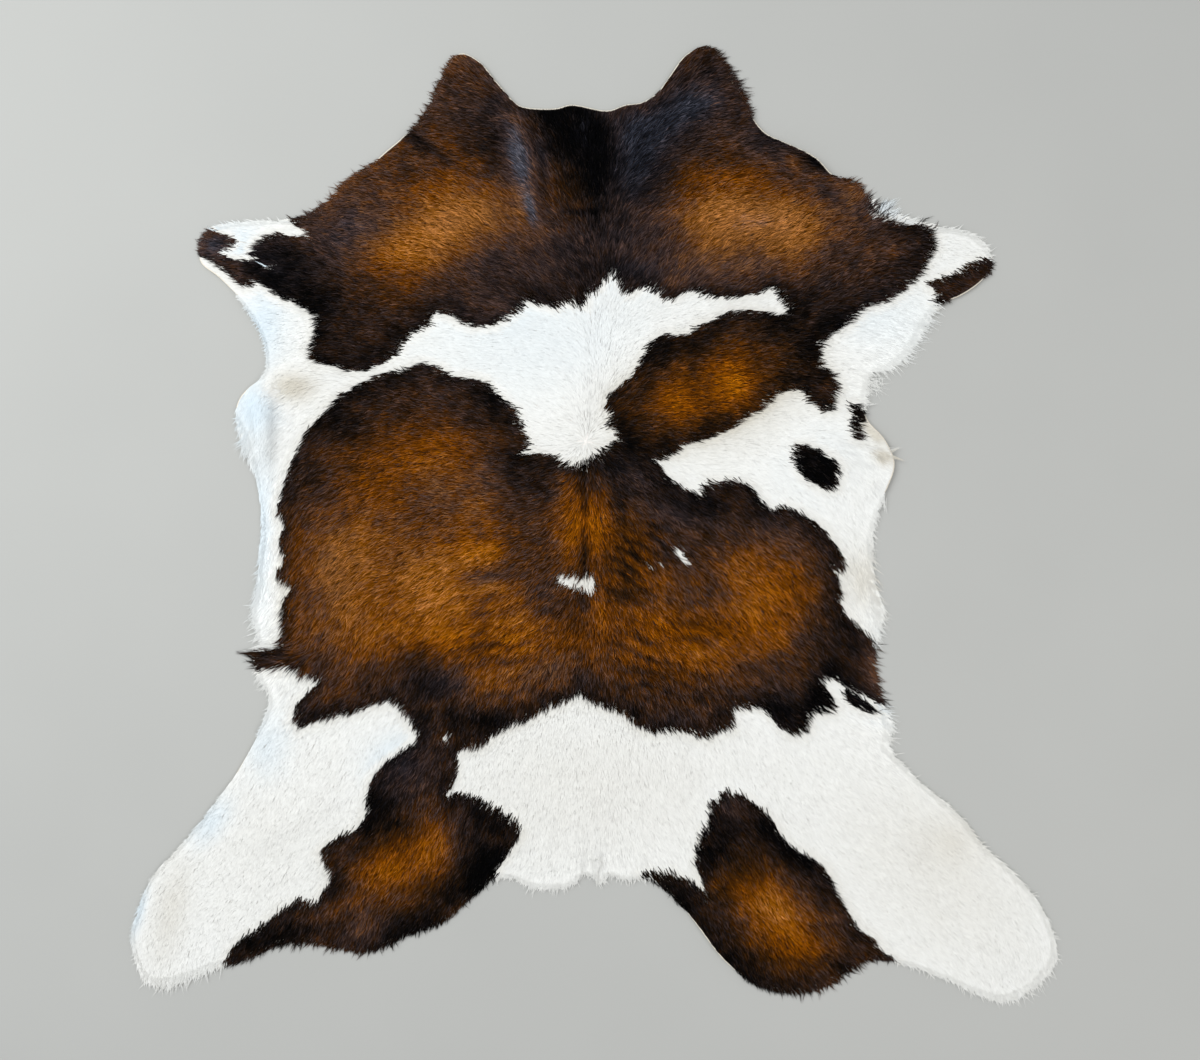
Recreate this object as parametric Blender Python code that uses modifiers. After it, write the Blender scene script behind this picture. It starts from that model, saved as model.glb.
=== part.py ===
"""Cowhide rug: one whole tanned skin with its hair on, lying flat with the hair side up.

The rug is one cut piece: the skin of the back and flanks, with two tabs at the neck, two
fore legs, two hind legs and a short point at the root of the tail. It is modelled as one
lumpy slab. Its underside lies on z = 0 wherever the skin lies flat, and rises where the
edge curls or the skin holds a fold. Its upper side is the level of the lying hair, and
pointed locks of hair stand out of its rim. +Y points to the neck, +X to the hide's right
side as seen from above, and the origin is under the middle of the slab's box.
"""

import math
from collections import namedtuple

import bmesh
import bpy
import numpy as np
from mathutils import Vector
from mathutils.geometry import delaunay_2d_cdt

MM = 0.001

# Driving sizes, in millimetres.
HIDE_WIDTH = 1662.0  # across the hind legs, over the hair
HIDE_LENGTH = 1714.0  # from the neck tabs to the hind feet, over the hair
SLAB_THICKNESS = 7.0  # skin and lying hair together, where the coat is full
RIM_SHARE = 0.42  # of that thickness at the cut edge
TIP_SHARE = 0.22  # of that thickness at the point of a lock
LUMP_SHARE = 0.22  # by how much the coat's thickness swells and sinks
LUMP_LENGTH = 95.0  # from one swelling of the coat to the next
LUMP_WAVES = 5  # directions in which it swells and sinks

RIM_STEP = 13.0  # between two points of the rim, so a lock has a root on each side of it
LOCK_ROOT = 0.5  # share of a lock that lies inside the outline, and the rest outside
LOCK_LEAN = 0.4  # how far a lock leans from square to the edge towards the hair's way
LOCK_SPREAD = (0.7, 1.25)  # the shortest and the longest lock, as shares of the table's
LEAST_LOCK = 4.0  # below this the edge is bare skin
PARTING_WIDTH = 60.0  # from the spine to where the hair lies half as far outwards as it will
SHOULDER_Y, LOIN_Y = 250.0, -250.0  # between these the hair turns from front to back slant
FRONT_SLANT, BACK_SLANT = math.radians(8), math.radians(52)  # below square to the spine
CURVE_READINGS = 24  # of the smooth outline, between two rows of its tables
GRID_STEP = 33.0  # between points of the field inside
RIM_GAP = 11.0  # least room between the rim and a point of the field
POINT_GAP = 15.0  # least room between two points of the field
FLAT_LIFT = 2.0  # an edge raised by no more than this lies on the floor
CURL_WIDTH = 62.0  # of the band in which a raised edge comes down to the floor
CURL_POWER = 1.6  # how much steeper it is at the edge than inside
LEAST_CURL = 5.0  # an edge raised by less gets no extra points
CURL_ROWS = (15.0, 33.0)  # the depths from the rim at which a raised edge gets points
FOLD_ROWS = (-0.5, 0.0, 0.5)  # the shares of its half-width at which a fold gets points

SEED = 11
INSIDE_ONLY = 1  # the triangulation keeps what is inside the rim
SAME_PLACE = 1e-6  # points nearer than this are one

LIFT, LOCK = 2, 3  # columns of the outline's tables, after x and y
Fold = namedtuple("Fold", "x1 y1 x2 y2 height half_width")

# The outline, clockwise from the root of the left neck tab, a row for each bend.
# Columns, in millimetres: x, y, how high the skin's edge is raised there, and how long the
# locks are that lie over it.
LEFT_NECK_TAB = (
    (-348, 689, 6, 0),
    (-325, 711, 4, 7),
    (-307, 736, 2, 10),
    (-276, 797, 2, 10),
    (-260, 832, 4, 7),
    (-240, 844, 6, 0),
    (-206, 828, 7, 0),
    (-177, 794, 7, 0),
    (-138, 752, 6, 0),
    (-121, 747, 5, 0),
)
NECK = (
    (-69, 746, 4, 0),
    (-42, 751, 8, 0),
    (24, 742, 4, 0),
    (55, 751, 7, 0),
    (84, 756, 5, 0),
)
RIGHT_NECK_TAB = (
    (111, 772, 5, 0),
    (129, 794, 6, 0),
    (165, 842, 6, 0),
    (197, 857, 4, 5),
    (215, 851, 3, 9),
    (244, 815, 2, 13),
    (273, 763, 3, 14),
    (292, 716, 7, 0),
)
RIGHT_SHOULDER = (
    (309, 698, 9, 0),
    (350, 677, 14, 0),
    (395, 653, 16, 0),
    (428, 623, 10, 0),
    (460, 619, 3, 14),
    (480, 599, 2, 22),
    (514, 565, 2, 20),
)
RIGHT_FORE_LEG = (
    (548, 553, 2, 16),
    (609, 536, 2, 14),
    (647, 529, 2, 12),
    (683, 518, 2, 12),
    (701, 500, 2, 12),
    (712, 479, 2, 10),
    (710, 452, 3, 8),
    (692, 434, 5, 0),
    (651, 407, 5, 0),
    (615, 389, 3, 14),
    (591, 351, 2, 18),
    (561, 302, 2, 18),
    (537, 284, 2, 16),
    (494, 265, 3, 12),
)
RIGHT_FLANK = (
    (487, 223, 4, 14),
    (489, 187, 7, 0),
    (521, 149, 9, 0),
    (537, 108, 10, 0),
    (526, 68, 8, 0),
    (510, 27, 4, 8),
    (498, -20, 2, 12),
    (498, -65, 2, 14),
    (503, -110, 2, 18),
    (517, -158, 2, 24),
    (508, -203, 2, 22),
    (500, -225, 2, 16),
    (505, -272, 2, 12),
    (516, -322, 2, 14),
    (532, -360, 2, 20),
    (526, -398, 2, 16),
)
RIGHT_HIND_LEG = (
    (541, -419, 2, 12),
    (582, -461, 2, 10),
    (654, -522, 2, 10),
    (692, -571, 2, 10),
    (751, -626, 2, 10),
    (795, -677, 2, 10),
    (823, -733, 2, 12),
    (829, -763, 2, 14),
    (823, -792, 2, 16),
    (805, -817, 2, 18),
    (780, -839, 2, 18),
    (737, -855, 2, 16),
    (694, -846, 2, 14),
    (631, -817, 2, 10),
    (573, -796, 2, 10),
    (544, -787, 2, 8),
)
RIGHT_THIGH = (
    (500, -783, 2, 10),
    (467, -796, 2, 14),
    (435, -819, 2, 14),
    (388, -839, 2, 14),
    (339, -841, 2, 12),
    (289, -828, 3, 8),
    (237, -787, 6, 0),
    (179, -713, 6, 0),
    (147, -677, 4, 6),
    (111, -644, 3, 8),
    (91, -637, 2, 8),
)
RUMP = (
    (58, -639, 2, 10),
    (22, -630, 2, 6),
    (12, -644, 3, 12),
    (-3, -634, 2, 6),
    (-19, -630, 2, 8),
    (-46, -650, 2, 10),
    (-107, -653, 2, 12),
    (-152, -635, 2, 10),
)
LEFT_THIGH = (
    (-183, -639, 2, 10),
    (-215, -666, 2, 10),
    (-276, -716, 2, 10),
    (-339, -740, 2, 12),
    (-379, -760, 2, 12),
    (-422, -769, 2, 14),
    (-469, -760, 2, 14),
    (-521, -752, 2, 14),
    (-571, -758, 2, 14),
    (-629, -783, 2, 14),
)
LEFT_HIND_LEG = (
    (-687, -799, 2, 18),
    (-748, -824, 2, 22),
    (-780, -828, 2, 22),
    (-800, -824, 2, 18),
    (-816, -803, 2, 12),
    (-827, -770, 2, 8),
    (-831, -738, 2, 8),
    (-822, -704, 2, 8),
    (-797, -639, 3, 6),
    (-773, -610, 3, 6),
    (-726, -558, 3, 6),
    (-687, -509, 3, 6),
    (-636, -436, 4, 0),
    (-595, -356, 4, 6),
    (-584, -329, 3, 8),
)
LEFT_FLANK = (
    (-584, -308, 3, 8),
    (-607, -268, 2, 14),
    (-611, -245, 2, 26),
    (-595, -227, 2, 8),
    (-606, -196, 2, 10),
    (-615, -158, 2, 12),
    (-607, -121, 2, 12),
    (-602, -65, 2, 12),
    (-598, -13, 2, 12),
    (-607, 67, 3, 10),
    (-625, 133, 4, 20),
    (-640, 182, 4, 10),
    (-643, 207, 4, 0),
    (-636, 227, 4, 0),
    (-618, 247, 4, 0),
    (-591, 270, 4, 6),
)
LEFT_FORE_LEG = (
    (-588, 293, 3, 6),
    (-597, 340, 4, 6),
    (-625, 387, 5, 6),
    (-672, 441, 5, 0),
    (-708, 472, 4, 0),
    (-710, 504, 2, 12),
    (-694, 527, 2, 12),
    (-649, 540, 2, 10),
    (-553, 547, 2, 10),
    (-512, 558, 2, 14),
    (-481, 578, 2, 16),
    (-454, 605, 2, 18),
    (-440, 619, 2, 16),
)
LEFT_SHOULDER = (
    (-412, 638, 3, 12),
    (-386, 657, 6, 0),
)
OUTLINE = (
    LEFT_NECK_TAB + NECK + RIGHT_NECK_TAB + RIGHT_SHOULDER + RIGHT_FORE_LEG + RIGHT_FLANK
    + RIGHT_HIND_LEG + RIGHT_THIGH + RUMP + LEFT_THIGH + LEFT_HIND_LEG + LEFT_FLANK
    + LEFT_FORE_LEG + LEFT_SHOULDER
)

# Soft folds inside the outline, a row for each. Columns, in millimetres: both ends of the
# crest, its height over the floor, and the half-width in which it comes down.
FOLDS = (
    (-132, 715, -112, 575, 10, 34),  # the left ridge of the neck
    (-60, 715, -52, 640, 5, 30),  # the low ridge beside it
    (66, 725, 96, 600, 6, 42),  # the neck's right swell
    (-338, 700, -290, 655, 7, 30),  # crease at the left shoulder
    (300, 640, 400, 595, 7, 38),  # swell behind the curled right shoulder edge
    (-600, 135, -596, 222, 12, 42),  # the bulge of the left flank
    (-545, 262, -470, 285, 6, 40),  # its run-out into the fore leg
    (500, 150, 505, 80, 7, 36),  # the puckered right flank
    (-70, -60, -40, -250, 4, 40),  # the loose skin left of the spine
    (70, -70, 85, -260, 4, 40),  # the loose skin right of the spine
    (-470, -480, -600, -560, 4, 44),  # slack along the left hind leg
    (430, -470, 560, -570, 4, 44),  # slack along the right hind leg
)


def clear_scene():
    """Removes every object that the scene starts with."""
    for each in list(bpy.data.objects):
        bpy.data.objects.remove(each)


def smooth_ring(rows, step):
    """A closed Catmull-Rom curve through the rows, read at even steps along its length.

    The knots are spaced by the square root of the distance between rows, which keeps the
    curve from overshooting between a long stretch and a short one.
    """
    knots = np.array(rows, float)
    before, after, beyond = (np.roll(knots, shift, axis=0) for shift in (1, -1, -2))

    def gap(a, b):
        return np.sqrt(np.hypot(*(b - a)[:, :2].T))[:, None]

    t1 = gap(before, knots)
    t2 = t1 + gap(knots, after)
    t3 = t2 + gap(after, beyond)
    pieces = []
    for share in np.linspace(0, 1, CURVE_READINGS, endpoint=False):
        t = t1 + (t2 - t1) * share
        a1 = before * (t1 - t) / t1 + knots * t / t1
        a2 = knots * (t2 - t) / (t2 - t1) + after * (t - t1) / (t2 - t1)
        a3 = after * (t3 - t) / (t3 - t2) + beyond * (t - t2) / (t3 - t2)
        b1 = a1 * (t2 - t) / t2 + a2 * t / t2
        b2 = a2 * (t3 - t) / (t3 - t1) + a3 * (t - t1) / (t3 - t1)
        pieces.append(b1 * (t2 - t) / (t2 - t1) + b2 * (t - t1) / (t2 - t1))
    fine = np.stack(pieces, axis=1).reshape(-1, knots.shape[1])
    closed = np.vstack([fine, fine[:1]])
    length = np.concatenate([[0], np.hypot(*np.diff(closed[:, :2], axis=0).T).cumsum()])
    count = 2 * round(length[-1] / step / 2)
    places = np.linspace(0, length[-1], count, endpoint=False)
    columns = [np.interp(places, length, column) for column in closed.T]
    return np.stack(columns, axis=1)


def outward(ring):
    """Unit vectors square to a clockwise ring, pointing out of it."""
    along = np.roll(ring[:, :2], -1, axis=0) - np.roll(ring[:, :2], 1, axis=0)
    along /= np.hypot(*along.T)[:, None]
    return np.stack([-along[:, 1], along[:, 0]], axis=1)


def hair_way(places):
    """The way the hair lies: out from the spine, turning tailwards from the shoulders on."""
    across = places[:, 0] / (np.abs(places[:, 0]) + PARTING_WIDTH)
    back = np.clip((SHOULDER_Y - places[:, 1]) / (SHOULDER_Y - LOIN_Y), 0, 1)
    slant = FRONT_SLANT + (BACK_SLANT - FRONT_SLANT) * back
    way = np.stack([across * np.cos(slant), -np.sin(slant)], axis=1)
    return way / np.hypot(*way.T)[:, None]


def rim_points(ring, random):
    """The slab's rim, in which every second point is the tip of a lock drawn out of the
    outline, and which of its points are tips."""
    out = outward(ring)
    way = hair_way(ring)
    leaning = (way * out).sum(axis=1) > 0
    aim = out + LOCK_LEAN * way * leaning[:, None]
    aim /= np.hypot(*aim.T)[:, None]
    hairy = ring[:, LOCK] > LEAST_LOCK
    tips = (np.arange(len(ring)) % 2 == 1) & hairy
    lock = ring[:, LOCK] * hairy * random.uniform(*LOCK_SPREAD, len(ring))
    reach = np.where(tips, (1 - LOCK_ROOT) * lock, -LOCK_ROOT * lock)
    return ring[:, :2] + np.where(tips[:, None], aim, out) * reach[:, None], tips


def fit(rim, ring):
    """Brings rim and ring to the driving width and length, about the middle of the rim."""
    low, high = rim.min(axis=0), rim.max(axis=0)
    share = np.array([HIDE_WIDTH, HIDE_LENGTH]) / (high - low)
    for points in (rim, ring[:, :2]):
        points -= (low + high) / 2
        points *= share


def nearest_on(places, path, closed):
    """For each place: its distance to the path, and where along the path that is, in rows."""
    ends = np.roll(path, -1, axis=0) if closed else path[1:]
    starts = path if closed else path[:-1]
    best = np.full(len(places), np.inf)
    where = np.zeros(len(places))
    for index, (start, end) in enumerate(zip(starts, ends)):
        along = end - start
        share = np.clip((places - start) @ along / (along @ along), 0, 1)
        distance = np.hypot(*(places - start - share[:, None] * along).T)
        nearer = distance < best
        best = np.where(nearer, distance, best)
        where = np.where(nearer, index + share, where)
    return best, where


def inside(places, ring):
    """Which places lie inside the ring, by the number of its edges crossed on the way to +X."""
    x, y = places.T
    crossed = np.zeros(len(places), int)
    for (x1, y1), (x2, y2) in zip(ring, np.roll(ring, -1, axis=0)):
        level = (y1 > y) != (y2 > y)
        if level.any():
            crossed += level & (x < (x2 - x1) * (y - y1) / (y2 - y1) + x1)
    return crossed % 2 == 1


def come_down(distance, width):
    """1 on the crest and 0 from the given width on, level at both ends."""
    share = np.clip(distance / width, 0, 1)
    return 0.5 + 0.5 * np.cos(math.pi * share)


def underside_height(places, ring):
    """How far the underside is off the floor: the root of the sum of the squares of the raised
    edge's height and of every fold's, so that they flow into each other."""
    distance, where = nearest_on(places, ring[:, :2], closed=True)
    lifts = np.append(ring[:, LIFT], ring[0, LIFT])
    lift = np.clip(np.interp(where, np.arange(len(lifts)), lifts) - FLAT_LIFT, 0, None)
    height = lift * np.clip(1 - distance / CURL_WIDTH, 0, 1) ** CURL_POWER
    for row in FOLDS:
        fold = Fold(*row)
        crest = np.array([[fold.x1, fold.y1], [fold.x2, fold.y2]], float)
        distance, _ = nearest_on(places, crest, closed=False)
        swell = fold.height * come_down(distance, fold.half_width)
        height = np.hypot(height, swell)
    return height


def fold_points():
    """Points along each fold's crest and halfway down each side of it."""
    found = []
    for row in FOLDS:
        fold = Fold(*row)
        start, end = np.array([fold.x1, fold.y1]), np.array([fold.x2, fold.y2])
        length = np.hypot(*(end - start))
        along = (end - start) / length
        side = np.array([-along[1], along[0]]) * fold.half_width
        for share in np.linspace(0, 1, 1 + max(1, round(length / GRID_STEP))):
            for offset in FOLD_ROWS:
                found.append(start + along * length * share + side * offset)
    return np.array(found)


def curl_points(ring):
    """Rows of points just inside the edge, where it is raised, so that it can bend up."""
    raised = (ring[:, LIFT] >= LEAST_CURL) & (np.arange(len(ring)) % 2 == 0)
    out = outward(ring)
    return np.vstack([ring[raised, :2] - out[raised] * depth for depth in CURL_ROWS])


def field_points(rim, ring):
    """Points inside the rim: those of the curls and folds, and a staggered grid between them."""
    low, high = rim.min(axis=0), rim.max(axis=0)
    rows = np.arange(low[1], high[1], GRID_STEP * math.sqrt(3) / 2)
    grid = []
    for index, y in enumerate(rows):
        start = low[0] + (index % 2) * GRID_STEP / 2
        grid += [(x, y) for x in np.arange(start, high[0], GRID_STEP)]
    kept = np.empty((0, 2))
    for group in (curl_points(ring), fold_points(), np.array(grid)):
        group = group[inside(group, rim)]
        distance, _ = nearest_on(group, rim, closed=True)
        group = group[distance > RIM_GAP]
        for place in group:
            if not len(kept) or np.hypot(*(kept - place).T).min() > POINT_GAP:
                kept = np.vstack([kept, place])
    return kept


def coat_share(places, rim, random):
    """The coat's thickness at each place, as a share of the full one: it swells and sinks by
    the sum of sine waves in several directions, and thins out to the rim."""
    lumps = np.zeros(len(places))
    for angle in random.uniform(0, math.tau, LUMP_WAVES):
        phase = random.uniform(0, math.tau)
        turned = places @ np.array([math.cos(angle), math.sin(angle)])
        lumps += np.sin(turned * math.tau / LUMP_LENGTH + phase) / LUMP_WAVES
    full = 1 - LUMP_SHARE * (0.5 + lumps)
    distance, _ = nearest_on(places, rim, closed=True)
    share = RIM_SHARE + (full - RIM_SHARE) * np.clip(distance / GRID_STEP, 0, 1)
    return np.clip(share, RIM_SHARE, 1)


def make_material():
    """The coat's mean look: dull dark brown hair."""
    material = bpy.data.materials.new("hair-on hide")
    material.use_nodes = True
    shader = material.node_tree.nodes["Principled BSDF"]
    shader.inputs["Base Color"].default_value = (0.085, 0.036, 0.016, 1)
    shader.inputs["Roughness"].default_value = 0.6
    shader.inputs["Metallic"].default_value = 0.0
    material.diffuse_color = (0.085, 0.036, 0.016, 1)
    return material


def make_hide(collection):
    """The underside as one sheet of triangles, thickened upwards by the coat."""
    random = np.random.default_rng(SEED)
    ring = smooth_ring(OUTLINE, RIM_STEP)
    rim, tips = rim_points(ring, random)
    fit(rim, ring)
    places = np.vstack([rim, field_points(rim, ring)])
    _, _, faces, origins, _, _ = delaunay_2d_cdt(
        [Vector(place) for place in places], [], [range(len(rim))], INSIDE_ONLY, SAME_PLACE
    )
    order = [origin[0] for origin in origins]
    share = coat_share(places, rim, random)
    share[: len(rim)][tips] = TIP_SHARE
    points = np.column_stack([places, underside_height(places, ring)])[order] * MM
    share = share[order]

    mesh = bpy.data.meshes.new("hide")
    mesh.from_pydata(points.tolist(), [], faces)
    sheet = bmesh.new()
    sheet.from_mesh(mesh)
    bmesh.ops.recalc_face_normals(sheet, faces=sheet.faces)
    if sum(face.normal.z for face in sheet.faces) < 0:
        bmesh.ops.reverse_faces(sheet, faces=sheet.faces)
    sheet.to_mesh(mesh)
    sheet.free()

    hide = bpy.data.objects.new("hide", mesh)
    collection.objects.link(hide)
    mesh.materials.append(make_material())
    coat = hide.vertex_groups.new(name="coat")
    for index, value in enumerate(share):
        coat.add([index], float(value), "REPLACE")
    thicken = hide.modifiers.new("coat", "SOLIDIFY")
    thicken.thickness = SLAB_THICKNESS * MM
    thicken.offset = 1
    thicken.vertex_group = "coat"
    thicken.thickness_vertex_group = 0.0
    mesh.shade_smooth()
    return hide


def main():
    clear_scene()
    collection = bpy.data.collections.new("cowhide rug")
    bpy.context.scene.collection.children.link(collection)
    make_hide(collection)


main()
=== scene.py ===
"""Cowhide rug, dressed: one tanned skin with its hair on, lying flat with the hair side up.

All tables are in millimetres, as the hide is seen from above: x to its right side, y to the neck.
in_frame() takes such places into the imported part's frame.
"""

import math

import bpy
import numpy as np
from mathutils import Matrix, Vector
from mathutils.geometry import delaunay_2d_cdt


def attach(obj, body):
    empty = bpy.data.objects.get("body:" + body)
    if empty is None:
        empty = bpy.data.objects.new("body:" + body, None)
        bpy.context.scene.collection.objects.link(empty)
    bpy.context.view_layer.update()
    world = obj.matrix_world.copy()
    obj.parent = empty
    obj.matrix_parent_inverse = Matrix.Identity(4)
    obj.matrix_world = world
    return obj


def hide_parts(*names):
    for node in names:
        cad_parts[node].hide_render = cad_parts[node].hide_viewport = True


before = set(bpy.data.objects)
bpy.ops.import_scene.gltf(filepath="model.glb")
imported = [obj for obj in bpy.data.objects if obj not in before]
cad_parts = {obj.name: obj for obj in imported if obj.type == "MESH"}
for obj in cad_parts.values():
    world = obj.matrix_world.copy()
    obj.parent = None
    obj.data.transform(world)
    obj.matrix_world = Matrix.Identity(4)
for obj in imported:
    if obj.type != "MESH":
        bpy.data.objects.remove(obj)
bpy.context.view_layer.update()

# ---------------------------------------------------------------------------------------------
# Where the rug is seen from: straight above, from the height of a standing person's raised
# hands, with the neck at the top of the frame.
EYE_HEIGHT = 1.70  # metres over the floor
VIEW_WIDTH = 2.149  # metres of floor across the frame
VIEW_MIDDLE = (0.0098, -0.0090)  # the place on the floor in the middle of the frame
SENSOR = 36.0

lens = bpy.data.cameras.new("overhead camera")
lens.sensor_width = SENSOR
lens.lens = SENSOR * EYE_HEIGHT / VIEW_WIDTH
lens.clip_start = 0.05
camera = bpy.data.objects.new("overhead camera", lens)
camera.location = (*VIEW_MIDDLE, EYE_HEIGHT)
bpy.context.scene.collection.objects.link(camera)
bpy.context.scene.camera = camera
bpy.context.scene.view_settings.view_transform = "Standard"


# ---------------------------------------------------------------------------------------------
# The floor is plain, pale and smooth, and only carries the rug.
class Wire:
    """A socket that gives a number or a colour. Arithmetic on it adds Math nodes to its
    material."""

    def __init__(self, finish, socket):
        self.finish, self.socket = finish, socket

    def maths(self, operation, *values):
        """What a Math node makes of this number and the values."""
        sockets = dict(enumerate((self, *values)))
        return self.finish.node("ShaderNodeMath", {"operation": operation}, sockets)

    def __add__(self, other):
        return self.maths("ADD", other)

    def __mul__(self, other):
        return self.maths("MULTIPLY", other)

    def __sub__(self, other):
        return self.maths("SUBTRACT", other)

    def __rsub__(self, other):
        return (self - other) * -1

    def within(self, low, high):
        """How far the number is from low to high, from 0 to 1."""
        sockets = {"Value": self, "From Min": low, "From Max": high}
        return self.finish.node("ShaderNodeMapRange", {"clamp": True}, sockets)


class Finish:
    """A material in the making, with one Principled shader."""

    def __init__(self, name, colour, **constants):
        self.material = bpy.data.materials.new(name)
        self.material.use_nodes = True
        self.material.diffuse_color = colour
        self.tree = self.material.node_tree
        self.shader = self.tree.nodes["Principled BSDF"]
        self.feed("Base Color", colour)
        for socket, value in constants.items():
            self.feed(socket.replace("_", " "), value)

    def node(self, kind, settings, sockets, output=0):
        """A node of that kind: its settings first, then the values or links of its sockets."""
        made = self.tree.nodes.new(kind)
        for name, value in settings.items():
            setattr(made, name, value)
        for name, value in sockets.items():
            self.join(made.inputs[name], value)
        return Wire(self, made.outputs[output])

    def join(self, socket, value):
        """Links a wire to the socket, or sets the socket to a plain value."""
        if isinstance(value, Wire):
            self.tree.links.new(value.socket, socket)
        else:
            socket.default_value = value

    def feed(self, name, value):
        """Joins a wire or a value to a socket of the shader."""
        self.join(self.shader.inputs[name], value)

    def number(self, name):
        """The mesh attribute of that name."""
        return self.node("ShaderNodeAttribute", {"attribute_name": name}, {}, output=2)

    def blend(self, factor, a, b):
        """Colour a at factor 0 and colour b at factor 1."""
        return self.node("ShaderNodeMix", {"data_type": "RGBA"}, {0: factor, 6: a, 7: b}, output=2)

    def brighten(self, colour, factor):
        """The colour with its light multiplied by a number."""
        vector = colour if isinstance(colour, Wire) else colour[:3]
        return self.node("ShaderNodeVectorMath", {"operation": "SCALE"}, {0: vector, 3: factor})

    def ramp(self, factor, stops, colours):
        """A colour from the ramp that has these colours at these stops."""
        made = self.node("ShaderNodeValToRGB", {}, {"Fac": factor})
        elements = made.socket.node.color_ramp.elements
        while len(elements) < len(stops):
            elements.new(1.0)
        for element, stop, colour in zip(elements, stops, colours):
            element.position, element.color = stop, (*colour, 1)
        return made

    def noise(self, scale, detail=2.0, place=None):
        """Soft noise from 0 to 1 over the object's own coordinates, in turns per metre."""
        if place is None:
            place = self.node("ShaderNodeTexCoord", {}, {}, output=3)
        sockets = {"Vector": place, "Scale": scale, "Detail": detail}
        return self.node("ShaderNodeTexNoise", {}, sockets)


FLOOR_COLOUR = (0.40, 0.40, 0.375, 1)
FLOOR_REACH = 7.0  # metres from the middle to each side

plaster = Finish("pale floor", FLOOR_COLOUR, Roughness=0.75)
plaster.feed("Base Color", plaster.brighten(FLOOR_COLOUR, plaster.noise(3.0) * 0.06 + 0.97))
corners = [(x * FLOOR_REACH, y * FLOOR_REACH, 0) for x, y in ((-1, -1), (1, -1), (1, 1), (-1, 1))]
floor_mesh = bpy.data.meshes.new("floor")
floor_mesh.from_pydata(corners, [], [(0, 1, 2, 3)])
floor_mesh.materials.append(plaster.material)
floor = bpy.data.objects.new("floor", floor_mesh)
bpy.context.scene.collection.objects.link(floor)


# ---------------------------------------------------------------------------------------------
# Soft studio light: a wide lamp high on the left, a weaker one on the right, and a pale room.
def lamp(name, place, size, watts, colour):
    """A square area lamp that faces the middle of the rug and isn't seen itself."""
    light = bpy.data.lights.new(name, "AREA")
    light.size, light.energy, light.color = size, watts, colour
    made = bpy.data.objects.new(name, light)
    made.location = place
    made.rotation_euler = (-Vector(place)).to_track_quat("-Z", "Y").to_euler()
    made.visible_camera = False
    bpy.context.scene.collection.objects.link(made)


lamp("window side", (-2.4, 1.3, 2.9), 2.6, 112, (0.95, 0.98, 1.0))
lamp("room side", (2.3, -1.0, 3.2), 2.6, 45, (1.0, 0.98, 0.95))
room = bpy.data.worlds.new("pale room")
room.use_nodes = True
room.node_tree.nodes["Background"].inputs["Color"].default_value = (0.93, 0.95, 1.0, 1)
room.node_tree.nodes["Background"].inputs["Strength"].default_value = 0.73
bpy.context.scene.world = room

# ---------------------------------------------------------------------------------------------
# The tanned skin: one piece of cattle leather, 2 mm thick, knifed round the neck, the legs and
# the flanks. It lies loose on the floor, and its edge curls where it dried stiff.
MM = 0.001
FIT_MIDDLE = (0.02, -1.76, 0.0)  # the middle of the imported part, in the tables' places
FIT_SHARE = (0.9951, 0.9951, 1.0)  # its size against theirs
SKIN = 2.2  # thickness
SKIN_INSET = 0.5  # share of a lock's length by which the skin ends short of the outline
RING_STEP = 8.0
CURVE_READINGS = 24
RIM_ROWS = (3.0, 9.0)  # depths of the rows of points that follow the cut edge
ROW_SHARE = 0.8  # of its depth that a point of such a row keeps from every part of the edge
FIELD_STEP, FIELD_GAP = 15.5, 14.0  # between the points inside, and from them to the edge
CELL = 4.0  # of the grid on which everything that varies over the hide is worked out
GRID_X, GRID_Y = 868.0, 892.0  # half sizes of that grid
FLAT_LIFT = 2.0  # an edge raised by no more than this lies on the floor
CURL_WIDTH, CURL_POWER = 62.0, 1.6  # of the band in which a raised edge comes down
INSIDE_ONLY, SAME_PLACE = 1, 1e-6

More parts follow.
